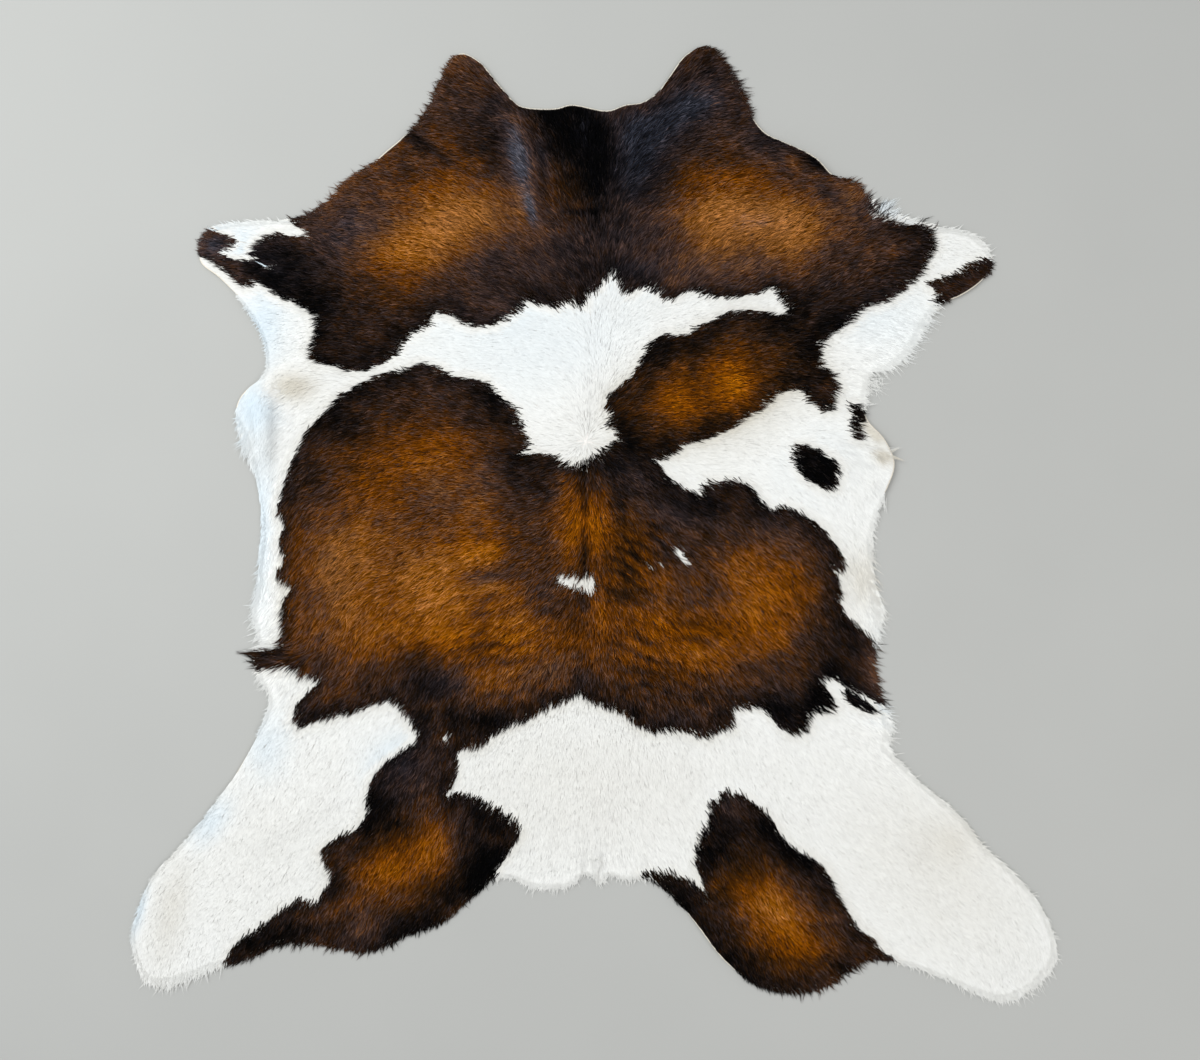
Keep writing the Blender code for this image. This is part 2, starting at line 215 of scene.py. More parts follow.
# Columns: x, y, how high the edge is raised there, and how long the locks over it are.
OUTLINE = (
    # the left tab of the neck
    (-348, 689, 6, 0), (-325, 711, 4, 7), (-307, 736, 2, 10), (-276, 797, 2, 10), (-260, 832, 4, 7),
    (-240, 844, 6, 0), (-206, 828, 7, 0), (-177, 794, 7, 0), (-138, 752, 6, 0), (-121, 747, 5, 0),
    # the neck
    (-69, 746, 4, 0), (-42, 751, 8, 0), (24, 742, 4, 0), (55, 751, 7, 0), (84, 756, 5, 0),
    # the right tab of the neck
    (111, 772, 5, 0), (129, 794, 6, 0), (165, 842, 6, 0), (197, 857, 4, 5), (215, 851, 3, 9),
    (244, 815, 2, 13), (273, 763, 3, 14), (292, 716, 7, 0),
    # the right shoulder, whose edge stands up
    (309, 698, 9, 0), (350, 677, 14, 0), (395, 653, 16, 0), (428, 623, 10, 0), (460, 619, 3, 14),
    (480, 599, 2, 22), (514, 565, 2, 20),
    # the right fore leg
    (548, 553, 2, 16), (609, 536, 2, 14), (647, 529, 2, 12), (683, 518, 2, 12), (701, 500, 2, 12),
    (712, 479, 2, 10), (710, 452, 3, 8), (692, 434, 5, 0), (651, 407, 5, 0), (615, 389, 3, 14),
    (591, 351, 2, 18), (561, 302, 2, 18), (537, 284, 2, 16), (494, 265, 3, 12),
    # the right flank
    (487, 223, 4, 14), (489, 187, 7, 0), (521, 149, 9, 0), (537, 108, 10, 0), (526, 68, 8, 0),
    (510, 27, 4, 8), (498, -20, 2, 12), (498, -65, 2, 14), (503, -110, 2, 18), (517, -158, 2, 24),
    (508, -203, 2, 22), (500, -225, 2, 16), (505, -272, 2, 12), (516, -322, 2, 14),
    (532, -360, 2, 20), (526, -398, 2, 16),
    # the right hind leg
    (541, -419, 2, 12), (582, -461, 2, 10), (654, -522, 2, 10), (692, -571, 2, 10),
    (751, -626, 2, 10), (795, -677, 2, 10), (823, -733, 2, 12), (829, -763, 2, 14),
    (823, -792, 2, 16), (805, -817, 2, 18), (780, -839, 2, 18), (737, -855, 2, 16),
    (694, -846, 2, 14), (631, -817, 2, 10), (573, -796, 2, 10), (544, -787, 2, 8),
    # the right thigh
    (500, -783, 2, 10), (467, -796, 2, 14), (435, -819, 2, 14), (388, -839, 2, 14),
    (339, -841, 2, 12), (289, -828, 3, 8), (237, -787, 6, 0), (179, -713, 6, 0),
    (147, -677, 4, 6), (111, -644, 3, 8), (91, -637, 2, 8),
    # the rump, with the root of the tail
    (58, -639, 2, 10), (22, -630, 2, 6), (12, -644, 3, 12), (-3, -634, 2, 6), (-19, -630, 2, 8),
    (-46, -650, 2, 10), (-107, -653, 2, 12), (-152, -635, 2, 10),
    # the left thigh
    (-183, -639, 2, 10), (-215, -666, 2, 10), (-276, -716, 2, 10), (-339, -740, 2, 12),
    (-379, -760, 2, 12), (-422, -769, 2, 14), (-469, -760, 2, 14), (-521, -752, 2, 14),
    (-571, -758, 2, 14), (-629, -783, 2, 14),
    # the left hind leg
    (-687, -799, 2, 18), (-748, -824, 2, 22), (-780, -828, 2, 22), (-800, -824, 2, 18),
    (-816, -803, 2, 12), (-827, -770, 2, 8), (-831, -738, 2, 8), (-822, -704, 2, 8),
    (-797, -639, 3, 6), (-773, -610, 3, 6), (-726, -558, 3, 6), (-687, -509, 3, 6),
    (-636, -436, 4, 0), (-595, -356, 4, 6), (-584, -329, 3, 8),
    # the left flank
    (-584, -308, 3, 8), (-607, -268, 2, 14), (-611, -245, 2, 26), (-595, -227, 2, 8),
    (-606, -196, 2, 10), (-615, -158, 2, 12), (-607, -121, 2, 12), (-602, -65, 2, 12),
    (-598, -13, 2, 12), (-607, 67, 3, 10), (-625, 133, 4, 20), (-640, 182, 4, 10),
    (-643, 207, 4, 0), (-636, 227, 4, 0), (-618, 247, 4, 0), (-591, 270, 4, 6),
    # the left fore leg
    (-588, 293, 3, 6), (-597, 340, 4, 6), (-625, 387, 5, 6), (-672, 441, 5, 0), (-708, 472, 4, 0),
    (-710, 504, 2, 12), (-694, 527, 2, 12), (-649, 540, 2, 10), (-553, 547, 2, 10),
    (-512, 558, 2, 14), (-481, 578, 2, 16), (-454, 605, 2, 18), (-440, 619, 2, 16),
    # the left shoulder
    (-412, 638, 3, 12), (-386, 657, 6, 0),
)

# Columns: both ends of a soft fold's crest, its height, and the half-width in which it comes down.
FOLDS = (
    (-132, 715, -112, 575, 10, 34),  # the left ridge of the neck
    (-60, 715, -52, 640, 5, 30),  # the low ridge beside it
    (66, 725, 96, 600, 6, 42),  # the neck's right swell
    (-338, 700, -290, 655, 7, 30),  # crease at the left shoulder
    (300, 640, 400, 595, 7, 38),  # swell behind the curled right shoulder edge
    (-600, 135, -596, 222, 12, 42),  # the bulge of the left flank
    (-545, 262, -470, 285, 6, 40),  # its run-out into the fore leg
    (500, 150, 505, 80, 7, 36),  # the puckered right flank
    (-70, -60, -40, -250, 4, 40),  # the loose skin left of the spine
    (70, -70, 85, -260, 4, 40),  # the loose skin right of the spine
    (-470, -480, -600, -560, 4, 44),  # slack along the left hind leg
    (430, -470, 560, -570, 4, 44),  # slack along the right hind leg
)


def in_frame(points):
    """Places and heights of the tables, in millimetres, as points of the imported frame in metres."""
    return (points - FIT_MIDDLE) * FIT_SHARE * MM


def smooth_ring(rows, step):
    """A closed Catmull-Rom curve through the rows, read at even steps along its length. Its knots
    are spaced by the square root of the distance between rows."""
    knots = np.array(rows, float)
    before, after, beyond = (np.roll(knots, shift, axis=0) for shift in (1, -1, -2))

    def gap(a, b):
        """The square root of the distance from each row to the next one."""
        return np.sqrt(np.hypot(*(b - a)[:, :2].T))[:, None]

    t1 = gap(before, knots)
    t2 = t1 + gap(knots, after)
    t3 = t2 + gap(after, beyond)
    parts = []
    for share in np.linspace(0, 1, CURVE_READINGS, endpoint=False):
        t = t1 + (t2 - t1) * share
        a1 = before * (t1 - t) / t1 + knots * t / t1
        a2 = knots * (t2 - t) / (t2 - t1) + after * (t - t1) / (t2 - t1)
        a3 = after * (t3 - t) / (t3 - t2) + beyond * (t - t2) / (t3 - t2)
        b1 = a1 * (t2 - t) / t2 + a2 * t / t2
        b2 = a2 * (t3 - t) / (t3 - t1) + a3 * (t - t1) / (t3 - t1)
        parts.append(b1 * (t2 - t) / (t2 - t1) + b2 * (t - t1) / (t2 - t1))
    fine = np.stack(parts, axis=1).reshape(-1, knots.shape[1])
    closed = np.vstack([fine, fine[:1]])
    length = np.concatenate([[0], np.hypot(*np.diff(closed[:, :2], axis=0).T).cumsum()])
    places = np.linspace(0, length[-1], round(length[-1] / step), endpoint=False)
    return np.stack([np.interp(places, length, column) for column in closed.T], axis=1)


def outward(ring):
    """Unit vectors square to a clockwise ring, pointing out of it."""
    along = np.roll(ring[:, :2], -1, axis=0) - np.roll(ring[:, :2], 1, axis=0)
    along /= np.hypot(*along.T)[:, None]
    return np.stack([-along[:, 1], along[:, 0]], axis=1)


def from_ring(places, ring):
    """Distance to a closed ring, positive inside it, and how far round it, in rows, the nearest
    point lies. A place is inside where a line from it to +x crosses the ring an odd number of
    times."""
    x, y = places.T
    best, where, odd = np.full(len(x), np.inf), np.zeros(len(x)), np.zeros(len(x), bool)
    ends = np.roll(ring, -1, axis=0)
    for row, ((x1, y1), (x2, y2)) in enumerate(zip(ring, ends)):
        dx, dy = x2 - x1, y2 - y1
        share = np.clip(((x - x1) * dx + (y - y1) * dy) / (dx * dx + dy * dy), 0, 1)
        square = (x - x1 - share * dx) ** 2 + (y - y1 - share * dy) ** 2
        nearer = square < best
        best[nearer], where[nearer] = square[nearer], row + share[nearer]
        odd ^= ((y1 > y) != (y2 > y)) & (x < dx * (y - y1) / (dy or 1.0) + x1)
    return np.where(odd, 1, -1) * np.sqrt(best), where


def from_crest(places, x1, y1, x2, y2):
    """Distance to a straight crest."""
    start, along = np.array([x1, y1], float), np.array([x2 - x1, y2 - y1], float)
    share = np.clip((places - start) @ along / (along @ along), 0, 1)
    return np.hypot(*(places - start - share[:, None] * along).T)


def underside(places, edge, lift):
    """How far the underside is off the floor: the root of the sum of the squares of the curled
    edge's height and of every fold's. A curl falls with a power of the distance from the edge,
    and a fold with a cosine."""
    lift = np.clip(lift - FLAT_LIFT, 0, None)
    height = lift * np.clip(1 - np.abs(edge) / CURL_WIDTH, 0, 1) ** CURL_POWER
    for *crest, fold, half_width in FOLDS:
        share = np.clip(from_crest(places, *crest) / half_width, 0, 1)
        height = np.hypot(height, fold * (0.5 + 0.5 * np.cos(math.pi * share)))
    return height


across = np.arange(-GRID_X, GRID_X + CELL, CELL)
along = np.arange(-GRID_Y, GRID_Y + CELL, CELL)
grid = np.stack(np.meshgrid(across, along), axis=-1).reshape(-1, 2)


def read(field, places):
    """A field of the grid read at any places: the four grid values round each place, weighted by
    how near they are along x and y."""
    column = np.clip((places[..., 0] - across[0]) / CELL, 0, len(across) - 1.001)
    row = np.clip((places[..., 1] - along[0]) / CELL, 0, len(along) - 1.001)
    i, j = column.astype(int), row.astype(int)
    u, v = column - i, row - j
    values = field.reshape(len(along), len(across))
    low = values[j, i] * (1 - u) + values[j, i + 1] * u
    high = values[j + 1, i] * (1 - u) + values[j + 1, i + 1] * u
    return low * (1 - v) + high * v


ring = smooth_ring(OUTLINE, RING_STEP)
EDGE, place_on_ring = from_ring(grid, ring[:, :2])
rows_round = np.arange(len(ring) + 1)
LIFT, LOCK = (
    np.interp(place_on_ring, rows_round, np.append(ring[:, c], ring[0, c])) for c in (2, 3)
)
HEIGHT = underside(grid, EDGE, LIFT)


def soft_step(value, low, high):
    """0 below low, 1 above high, and a smooth rise between them."""
    share = np.clip((value - low) / (high - low), 0, 1)
    return share * share * (3 - 2 * share)


# The patches of the coat, as natural borders between dark and white hair. Columns: x, y.
NECK_AND_SHOULDERS = (
    (-703, 480), (-669, 453), (-642, 430), (-622, 423), (-616, 441), (-597, 427), (-568, 407),
    (-537, 394), (-508, 376), (-507, 355), (-508, 333), (-518, 313), (-512, 297), (-498, 284),
    (-471, 284), (-449, 275), (-420, 275), (-393, 283), (-366, 301), (-345, 333), (-305, 358),
    (-289, 382), (-264, 376), (-242, 362), (-219, 355), (-181, 358), (-154, 377), (-133, 395),
    (-128, 404), (-104, 398), (-75, 391), (-64, 400), (-39, 401), (-19, 398), (-14, 419), (6, 427),
    (15, 440), (35, 460), (50, 430), (66, 415), (91, 431), (109, 428), (129, 411), (147, 407),
    (168, 420), (190, 422), (213, 411), (249, 409), (269, 407), (296, 414), (325, 427), (342, 405),
    (357, 387), (343, 375), (310, 380), (278, 383), (242, 383), (213, 365), (190, 356), (177, 340),
    (156, 338), (129, 342), (109, 331), (98, 311), (81, 288), (72, 268), (24, 236), (24, 212),
    (35, 202), (31, 182), (45, 164), (49, 141), (54, 99), (100, 88), (113, 109), (149, 124),
    (168, 144), (192, 147), (219, 158), (249, 171), (278, 191), (309, 209), (332, 232), (354, 241),
    (379, 240), (395, 220), (415, 202), (432, 204), (444, 243), (433, 267), (413, 284), (412, 306),
    (417, 330), (433, 341), (462, 361), (489, 388), (531, 399), (560, 421), (591, 448), (605, 475),
    (618, 495), (615, 520), (597, 536), (561, 536), (535, 546), (508, 557), (498, 580), (505, 619),
    (424, 673), (334, 835), (190, 907), (46, 835), (-134, 835), (-242, 907), (-350, 781),
    (-458, 655), (-548, 574), (-710, 574), (-746, 472),
)
BACK_AND_LEFT_THIGH = (
    (-573, -101), (-557, -63), (-568, -38), (-557, -7), (-572, 14), (-563, 56), (-553, 88),
    (-535, 134), (-517, 167), (-487, 200), (-467, 225), (-438, 245), (-395, 266), (-348, 277),
    (-314, 289), (-276, 277), (-258, 264), (-226, 262), (-197, 254), (-175, 233), (-145, 206),
    (-141, 182), (-129, 157), (-120, 140), (-147, 121), (-107, 126), (-80, 122), (-64, 104),
    (-33, 99), (-14, 103), (6, 115), (19, 133), (44, 151), (100, 151), (111, 115), (132, 86),
    (160, 63), (180, 51), (198, 52), (212, 74), (249, 76), (267, 72), (284, 67), (297, 45),
    (321, 20), (348, 27), (366, 20), (388, 5), (408, -5), (428, -31), (444, -54), (454, -77),
    (447, -94), (428, -83), (438, -101), (447, -126), (444, -142), (452, -165), (480, -194),
    (511, -219), (559, -227), (568, -330), (527, -329), (489, -311), (458, -295), (431, -279),
    (408, -286), (427, -308), (440, -331), (429, -338), (402, -341), (388, -352), (390, -367),
    (376, -379), (358, -381), (337, -369), (323, -353), (298, -331), (249, -338), (253, -356),
    (249, -373), (224, -376), (204, -388), (179, -382), (152, -375), (105, -377), (78, -368),
    (60, -351), (37, -339), (8, -329), (-14, -323), (-24, -310), (-40, -319), (-75, -333),
    (-98, -342), (-127, -360), (-150, -364), (-179, -383), (-206, -405), (-249, -412),
    (-249, -459), (-269, -493), (-242, -489), (-202, -504), (-173, -522), (-145, -542),
    (-131, -560), (-160, -600), (-181, -632), (-161, -677), (-269, -758), (-422, -812),
    (-530, -794), (-629, -830), (-678, -830), (-667, -794), (-652, -767), (-633, -747),
    (-600, -729), (-577, -706), (-546, -686), (-498, -686), (-491, -665), (-475, -646),
    (-483, -621), (-496, -593), (-472, -572), (-424, -549), (-412, -525), (-410, -492),
    (-402, -463), (-381, -436), (-346, -411), (-318, -387), (-336, -357), (-352, -329),
    (-381, -324), (-411, -331), (-435, -343), (-458, -346), (-482, -354), (-500, -358),
    (-519, -367), (-532, -371), (-543, -351), (-537, -326), (-508, -299), (-496, -287),
    (-526, -280), (-553, -265), (-604, -265), (-624, -247), (-665, -240), (-665, -220),
    (-600, -230), (-577, -227), (-566, -202), (-564, -175), (-562, -142), (-544, -121),
)
RIGHT_THIGH = (
    (82, -635), (147, -635), (179, -648), (197, -664), (208, -677), (194, -643), (184, -616),
    (186, -590), (200, -558), (211, -533), (208, -508), (224, -500), (242, -484), (274, -495),
    (298, -513), (320, -536), (337, -562), (357, -584), (386, -599), (417, -619), (429, -644),
    (446, -675), (462, -706), (480, -733), (503, -745), (516, -767), (544, -787), (541, -839),
    (370, -893), (226, -857), (154, -767),
)
FLANK_SPOT = (
    (368, 140), (386, 142), (406, 131), (428, 117), (446, 101), (436, 61), (415, 61), (390, 76),
    (373, 90), (366, 108), (366, 126),
)
ARMPIT_MARK = (
    (462, 214), (478, 214), (485, 200), (490, 187), (482, 176), (480, 168), (487, 157), (485, 148),
    (474, 152), (468, 167), (469, 180), (469, 195),
)
RIGHT_TOE = (
    (730, 479), (710, 475), (687, 468), (656, 446), (629, 441), (600, 428), (620, 414),
    (620, 396), (631, 371), (739, 430),
)
LOIN_FLECK = (
    (450, -306), (459, -300), (471, -306), (485, -317), (500, -328), (514, -340), (499, -340),
    (481, -337), (466, -328), (458, -322),
)
LEFT_FORE_LEG_WHITE = (
    (-701, 560), (-689, 528), (-678, 523), (-660, 517), (-652, 508), (-656, 497), (-678, 490),
    (-669, 481), (-647, 474), (-612, 474), (-621, 486), (-621, 497), (-608, 508), (-593, 518),
    (-572, 523), (-552, 517), (-528, 514), (-522, 523), (-538, 538), (-550, 549), (-554, 574),
)
SPINE_MARK = (
    (-73, -95), (-51, -98), (-24, -104), (-12, -100), (1, -95), (3, -115), (-4, -133), (-17, -124),
    (-44, -120), (-70, -111),
)
BACK_DASH = ((143, -38), (151, -42), (165, -59), (179, -80), (168, -74), (151, -56))
# Small white flecks in the dark hair. Columns: x, y, half length, half width, turn in degrees.
FLECKS = (
    (102, -83, 8, 1.2, -35), (124, -77, 7, 1.2, -60), (-270, -390, 8, 4, 60), (-325, -396, 7, 4, 20),
    (-589, 461, 6, 4, -25),
)

# Columns: x, y and half sizes of an ellipse, its turn in degrees, and how much lighter and redder
# the dark hair is inside it, or how much blacker where the number is below 0.
GLOWS_AND_PAINTED_LIGHT = (
    # the neck and the shoulders, with painted highlights on the neck's ridges, painted shade beside
    # them and in the creases of the neck and the left shoulder, and painted shade in the valley
    # behind the curled right shoulder edge
    (-262, 552, 95, 66, 20, 0.42), (-340, 492, 110, 60, 10, 0.42), (-160, 545, 75, 45, -10, 0.16),
    (-134, 652, 22, 88, 13, 0.26), (-112, 566, 12, 34, 10, 0.12), (-224, 709, 50, 40, 0, 0.03),
    (-140, 705, 18, 40, 8, 0.12), (-110, 708, 12, 26, 0, 0.08), (-125, 582, 30, 28, 0, 0.08),
    (-185, 690, 22, 70, 15, -0.08), (-100, 665, 9, 60, 12, -0.09), (310, 450, 60, 24, 0, -0.05),
    (-306, 511, 50, 40, 0, -0.04), (-86, 652, 8, 44, 8, 0.06), (-410, 590, 120, 70, 35, 0.10),
    (222, 548, 85, 66, 0, 0.50), (345, 528, 90, 72, 0, 0.52), (300, 490, 40, 40, 0, -0.12),
    (455, 565, 80, 50, -30, 0.14), (210, 440, 150, 45, 0, 0.24), (-45, 708, 66, 62, 0, -0.38),
    (4, 640, 34, 90, 0, -0.36), (-18, 706, 16, 40, 0, 0.10), (-50, 600, 50, 36, 0, -0.12),
    (-50, 655, 22, 30, 0, -0.10), (45, 645, 24, 40, 0, -0.07), (135, 640, 26, 30, 0, -0.06),
    (-104, 695, 12, 36, 0, 0.08), (-152, 705, 16, 40, 0, -0.07), (-400, 540, 40, 24, 0, -0.08),
    (-405, 440, 40, 30, 0, -0.08), (-160, 588, 40, 24, 0, 0.08), (130, 560, 60, 30, 0, 0.07),
    (-55, 490, 40, 20, 0, -0.07), (250, 440, 50, 20, 0, -0.11), (95, 670, 60, 90, -25, -0.14),
    (40, 520, 120, 36, 0, -0.07), (38, 462, 20, 36, 0, 0.08), (75, 455, 50, 26, 0, -0.09),
    (-40, 456, 36, 22, 0, -0.10), (-500, 400, 90, 120, -25, -0.18), (-160, 385, 60, 24, 30, 0.20),
    (95, 588, 44, 22, 0, -0.14), (48, 500, 24, 24, 0, 0.06), (400, 390, 90, 90, 0, -0.12),
    (-470, 600, 60, 24, 38, 0.16), (-200, 690, 50, 60, 0, -0.10), (-240, 830, 40, 40, 0, 0.12),
    (-70, 745, 60, 30, 0, -0.26), (-570, 467, 62, 42, -15, -0.20), (190, 800, 60, 50, 0, -0.08),
    (-700, 492, 34, 44, 0, 0.27), (-640, 440, 50, 16, -30, 0.14), (-260, 645, 60, 80, 0, 0.07),
    (300, 615, 80, 40, 0, 0.07), (-275, 830, 24, 40, -60, 0.16), (-310, 681, 44, 15, -36, -0.26),
    (-270, 655, 24, 5, -40, -0.12), (-18, 562, 46, 6, 1, -0.25), (402, 643, 32, 13, -40, -0.30),
    (350, 672, 50, 9, -30, -0.12), (352, 650, 24, 14, -45, 0.20), (412, 620, 44, 6, -10, 0.12),
    (476, 590, 44, 26, -40, 0.16), (308, 692, 60, 34, -30, -0.14), (400, 596, 60, 20, -20, -0.14),
    # the patch right of the saddle, and the small marks beside it
    (150, 218, 42, 45, 0, 0.34), (250, 252, 50, 50, 0, 0.44), (70, 130, 60, 90, 0, -0.12),
    (370, 310, 60, 60, 0, -0.09), (105, 312, 50, 45, 0, -0.10), (400, 102, 70, 60, 0, -0.26),
    (478, 195, 24, 30, 0, -0.15), (72, 252, 14, 30, 0, 0.14),
    # the back, left of the spine
    (-340, -20, 230, 190, 0, 0.15), (-300, 125, 100, 50, 0, 0.20), (-285, 78, 36, 40, 0, 0.10),
    (-240, 80, 24, 34, 0, 0.08), (-205, -80, 40, 24, 0, 0.06), (-255, -150, 40, 24, 0, 0.10),
    (-60, -126, 30, 14, 0, 0.12), (-50, 95, 50, 24, 0, 0.12), (-440, 0, 80, 120, -10, 0.10),
    (-205, 30, 50, 80, 15, 0.14), (-190, 80, 40, 40, 0, -0.08), (-420, 165, 40, 40, 0, -0.10),
    (-485, 60, 50, 50, 0, -0.12), (-450, -90, 80, 90, 0, 0.28), (-540, -110, 30, 130, 0, 0.16),
    (-295, -115, 85, 80, 0, 0.38), (-215, -86, 66, 12, 12, -0.18), (-200, -122, 60, 20, 8, 0.09),
    (-205, -212, 34, 18, 0, -0.05), (-240, -262, 36, 20, 0, -0.03), (-205, -56, 46, 30, 8, 0.30),
    (-190, -205, 130, 40, 0, 0.13), (-285, -288, 64, 28, 0, -0.24), (-275, -195, 60, 30, 0, 0.24),
    (-150, -322, 70, 18, 15, 0.12), (-140, -180, 60, 70, 30, 0.32), (-180, -280, 90, 34, 6, 0.28),
    (-420, -200, 110, 60, 0, 0.24), (-330, -250, 50, 28, 0, -0.12), (-110, 70, 60, 50, 0, -0.18),
    (-215, -352, 90, 26, 0, -0.24), (-450, 200, 100, 70, 45, -0.09),
    (-190, 200, 60, 60, -30, -0.10), (-500, -290, 50, 36, 0, 0.28), (-150, -352, 40, 18, 20, 0.16),
    (-170, -115, 50, 22, 0, 0.15), (-224, -245, 60, 34, 0, 0.05),
    # the spine, and the back right of it
    (-15, 0, 66, 60, 0, 0.36), (-58, 60, 24, 60, 0, 0.16), (-18, -20, 9, 110, 0, -0.28),
    (12, -150, 20, 60, 0, 0.22), (-4, -212, 26, 50, 0, 0.11), (-52, -60, 22, 34, 0, 0.14),
    (-86, -105, 24, 40, 0, -0.06), (-58, -240, 30, 70, 0, 0.16), (50, -220, 60, 70, 0, 0.10),
    (46, 35, 18, 50, 0, -0.22), (12, -20, 12, 60, 0, 0.08), (60, -100, 26, 50, 0, -0.08),
    (100, 94, 36, 18, 0, 0.04), (120, -100, 50, 60, 0, 0.16), (140, -50, 30, 40, 0, -0.12),
    (130, -165, 110, 24, 0, 0.16), (180, -235, 130, 40, -6, 0.30), (300, -130, 85, 90, 0, 0.36),
    (265, -60, 50, 30, 0, 0.10), (180, -190, 90, 16, 0, 0.10), (310, -215, 60, 30, 0, 0.12),
    (200, 30, 130, 50, -10, -0.10), (360, -50, 60, 40, -30, 0.08), (350, -330, 50, 40, 0, -0.20),
    (436, -250, 40, 50, 0, -0.16), (403, -205, 30, 26, 0, -0.12), (410, -310, 30, 30, 0, -0.14),
    (513, -240, 26, 80, 0, 0.30), (478, -322, 44, 22, -40, -0.16), (330, -255, 50, 30, 0, -0.12),
    (405, -330, 24, 24, 0, -0.12), (-13, 16, 30, 40, 0, 0.03),
    # the left thigh
    (-370, -625, 70, 42, 15, 0.36), (-285, -580, 44, 60, 0, 0.28), (-225, -560, 36, 50, 0, 0.05),
    (-184, -560, 30, 36, 0, 0.06), (-470, -690, 80, 30, 20, 0.14), (-455, -560, 26, 30, 0, 0.24),
    (-295, -498, 40, 30, 0, 0.14), (-375, -525, 60, 46, 30, -0.18),
    (-200, -590, 60, 100, 0, -0.22), (-230, -655, 70, 36, 35, -0.24),
    (-330, -735, 110, 40, 10, -0.26), (-205, -645, 24, 30, 0, -0.08),
    (-410, -735, 40, 30, 0, 0.20), (-240, -697, 40, 20, 30, 0.24), (-300, -655, 50, 24, 0, -0.10),
    (-500, -705, 30, 16, 0, 0.10), (-450, -655, 40, 30, 0, -0.12), (-560, -745, 80, 26, 15, -0.22),
    # the right thigh
    (320, -695, 66, 56, -45, 0.54), (385, -755, 50, 36, -30, 0.18), (240, -580, 90, 80, 0, -0.18),
    (215, -530, 30, 40, 0, 0.12), (208, -655, 22, 30, 0, 0.14), (370, -600, 80, 30, -45, -0.16),
    (300, -735, 40, 50, 0, -0.08), (440, -705, 30, 26, 0, 0.16), (395, -668, 40, 24, -45, -0.09),
    (345, -760, 40, 24, 0, 0.08), (350, -815, 50, 16, 0, -0.06), (230, -790, 120, 50, -35, -0.30),
    (350, -850, 110, 34, 10, -0.08), (462, -805, 56, 20, -28, -0.20), (230, -650, 40, 40, 0, 0.08),
    (250, -502, 40, 24, 0, 0.16), (150, -675, 70, 30, -42, -0.20),
)
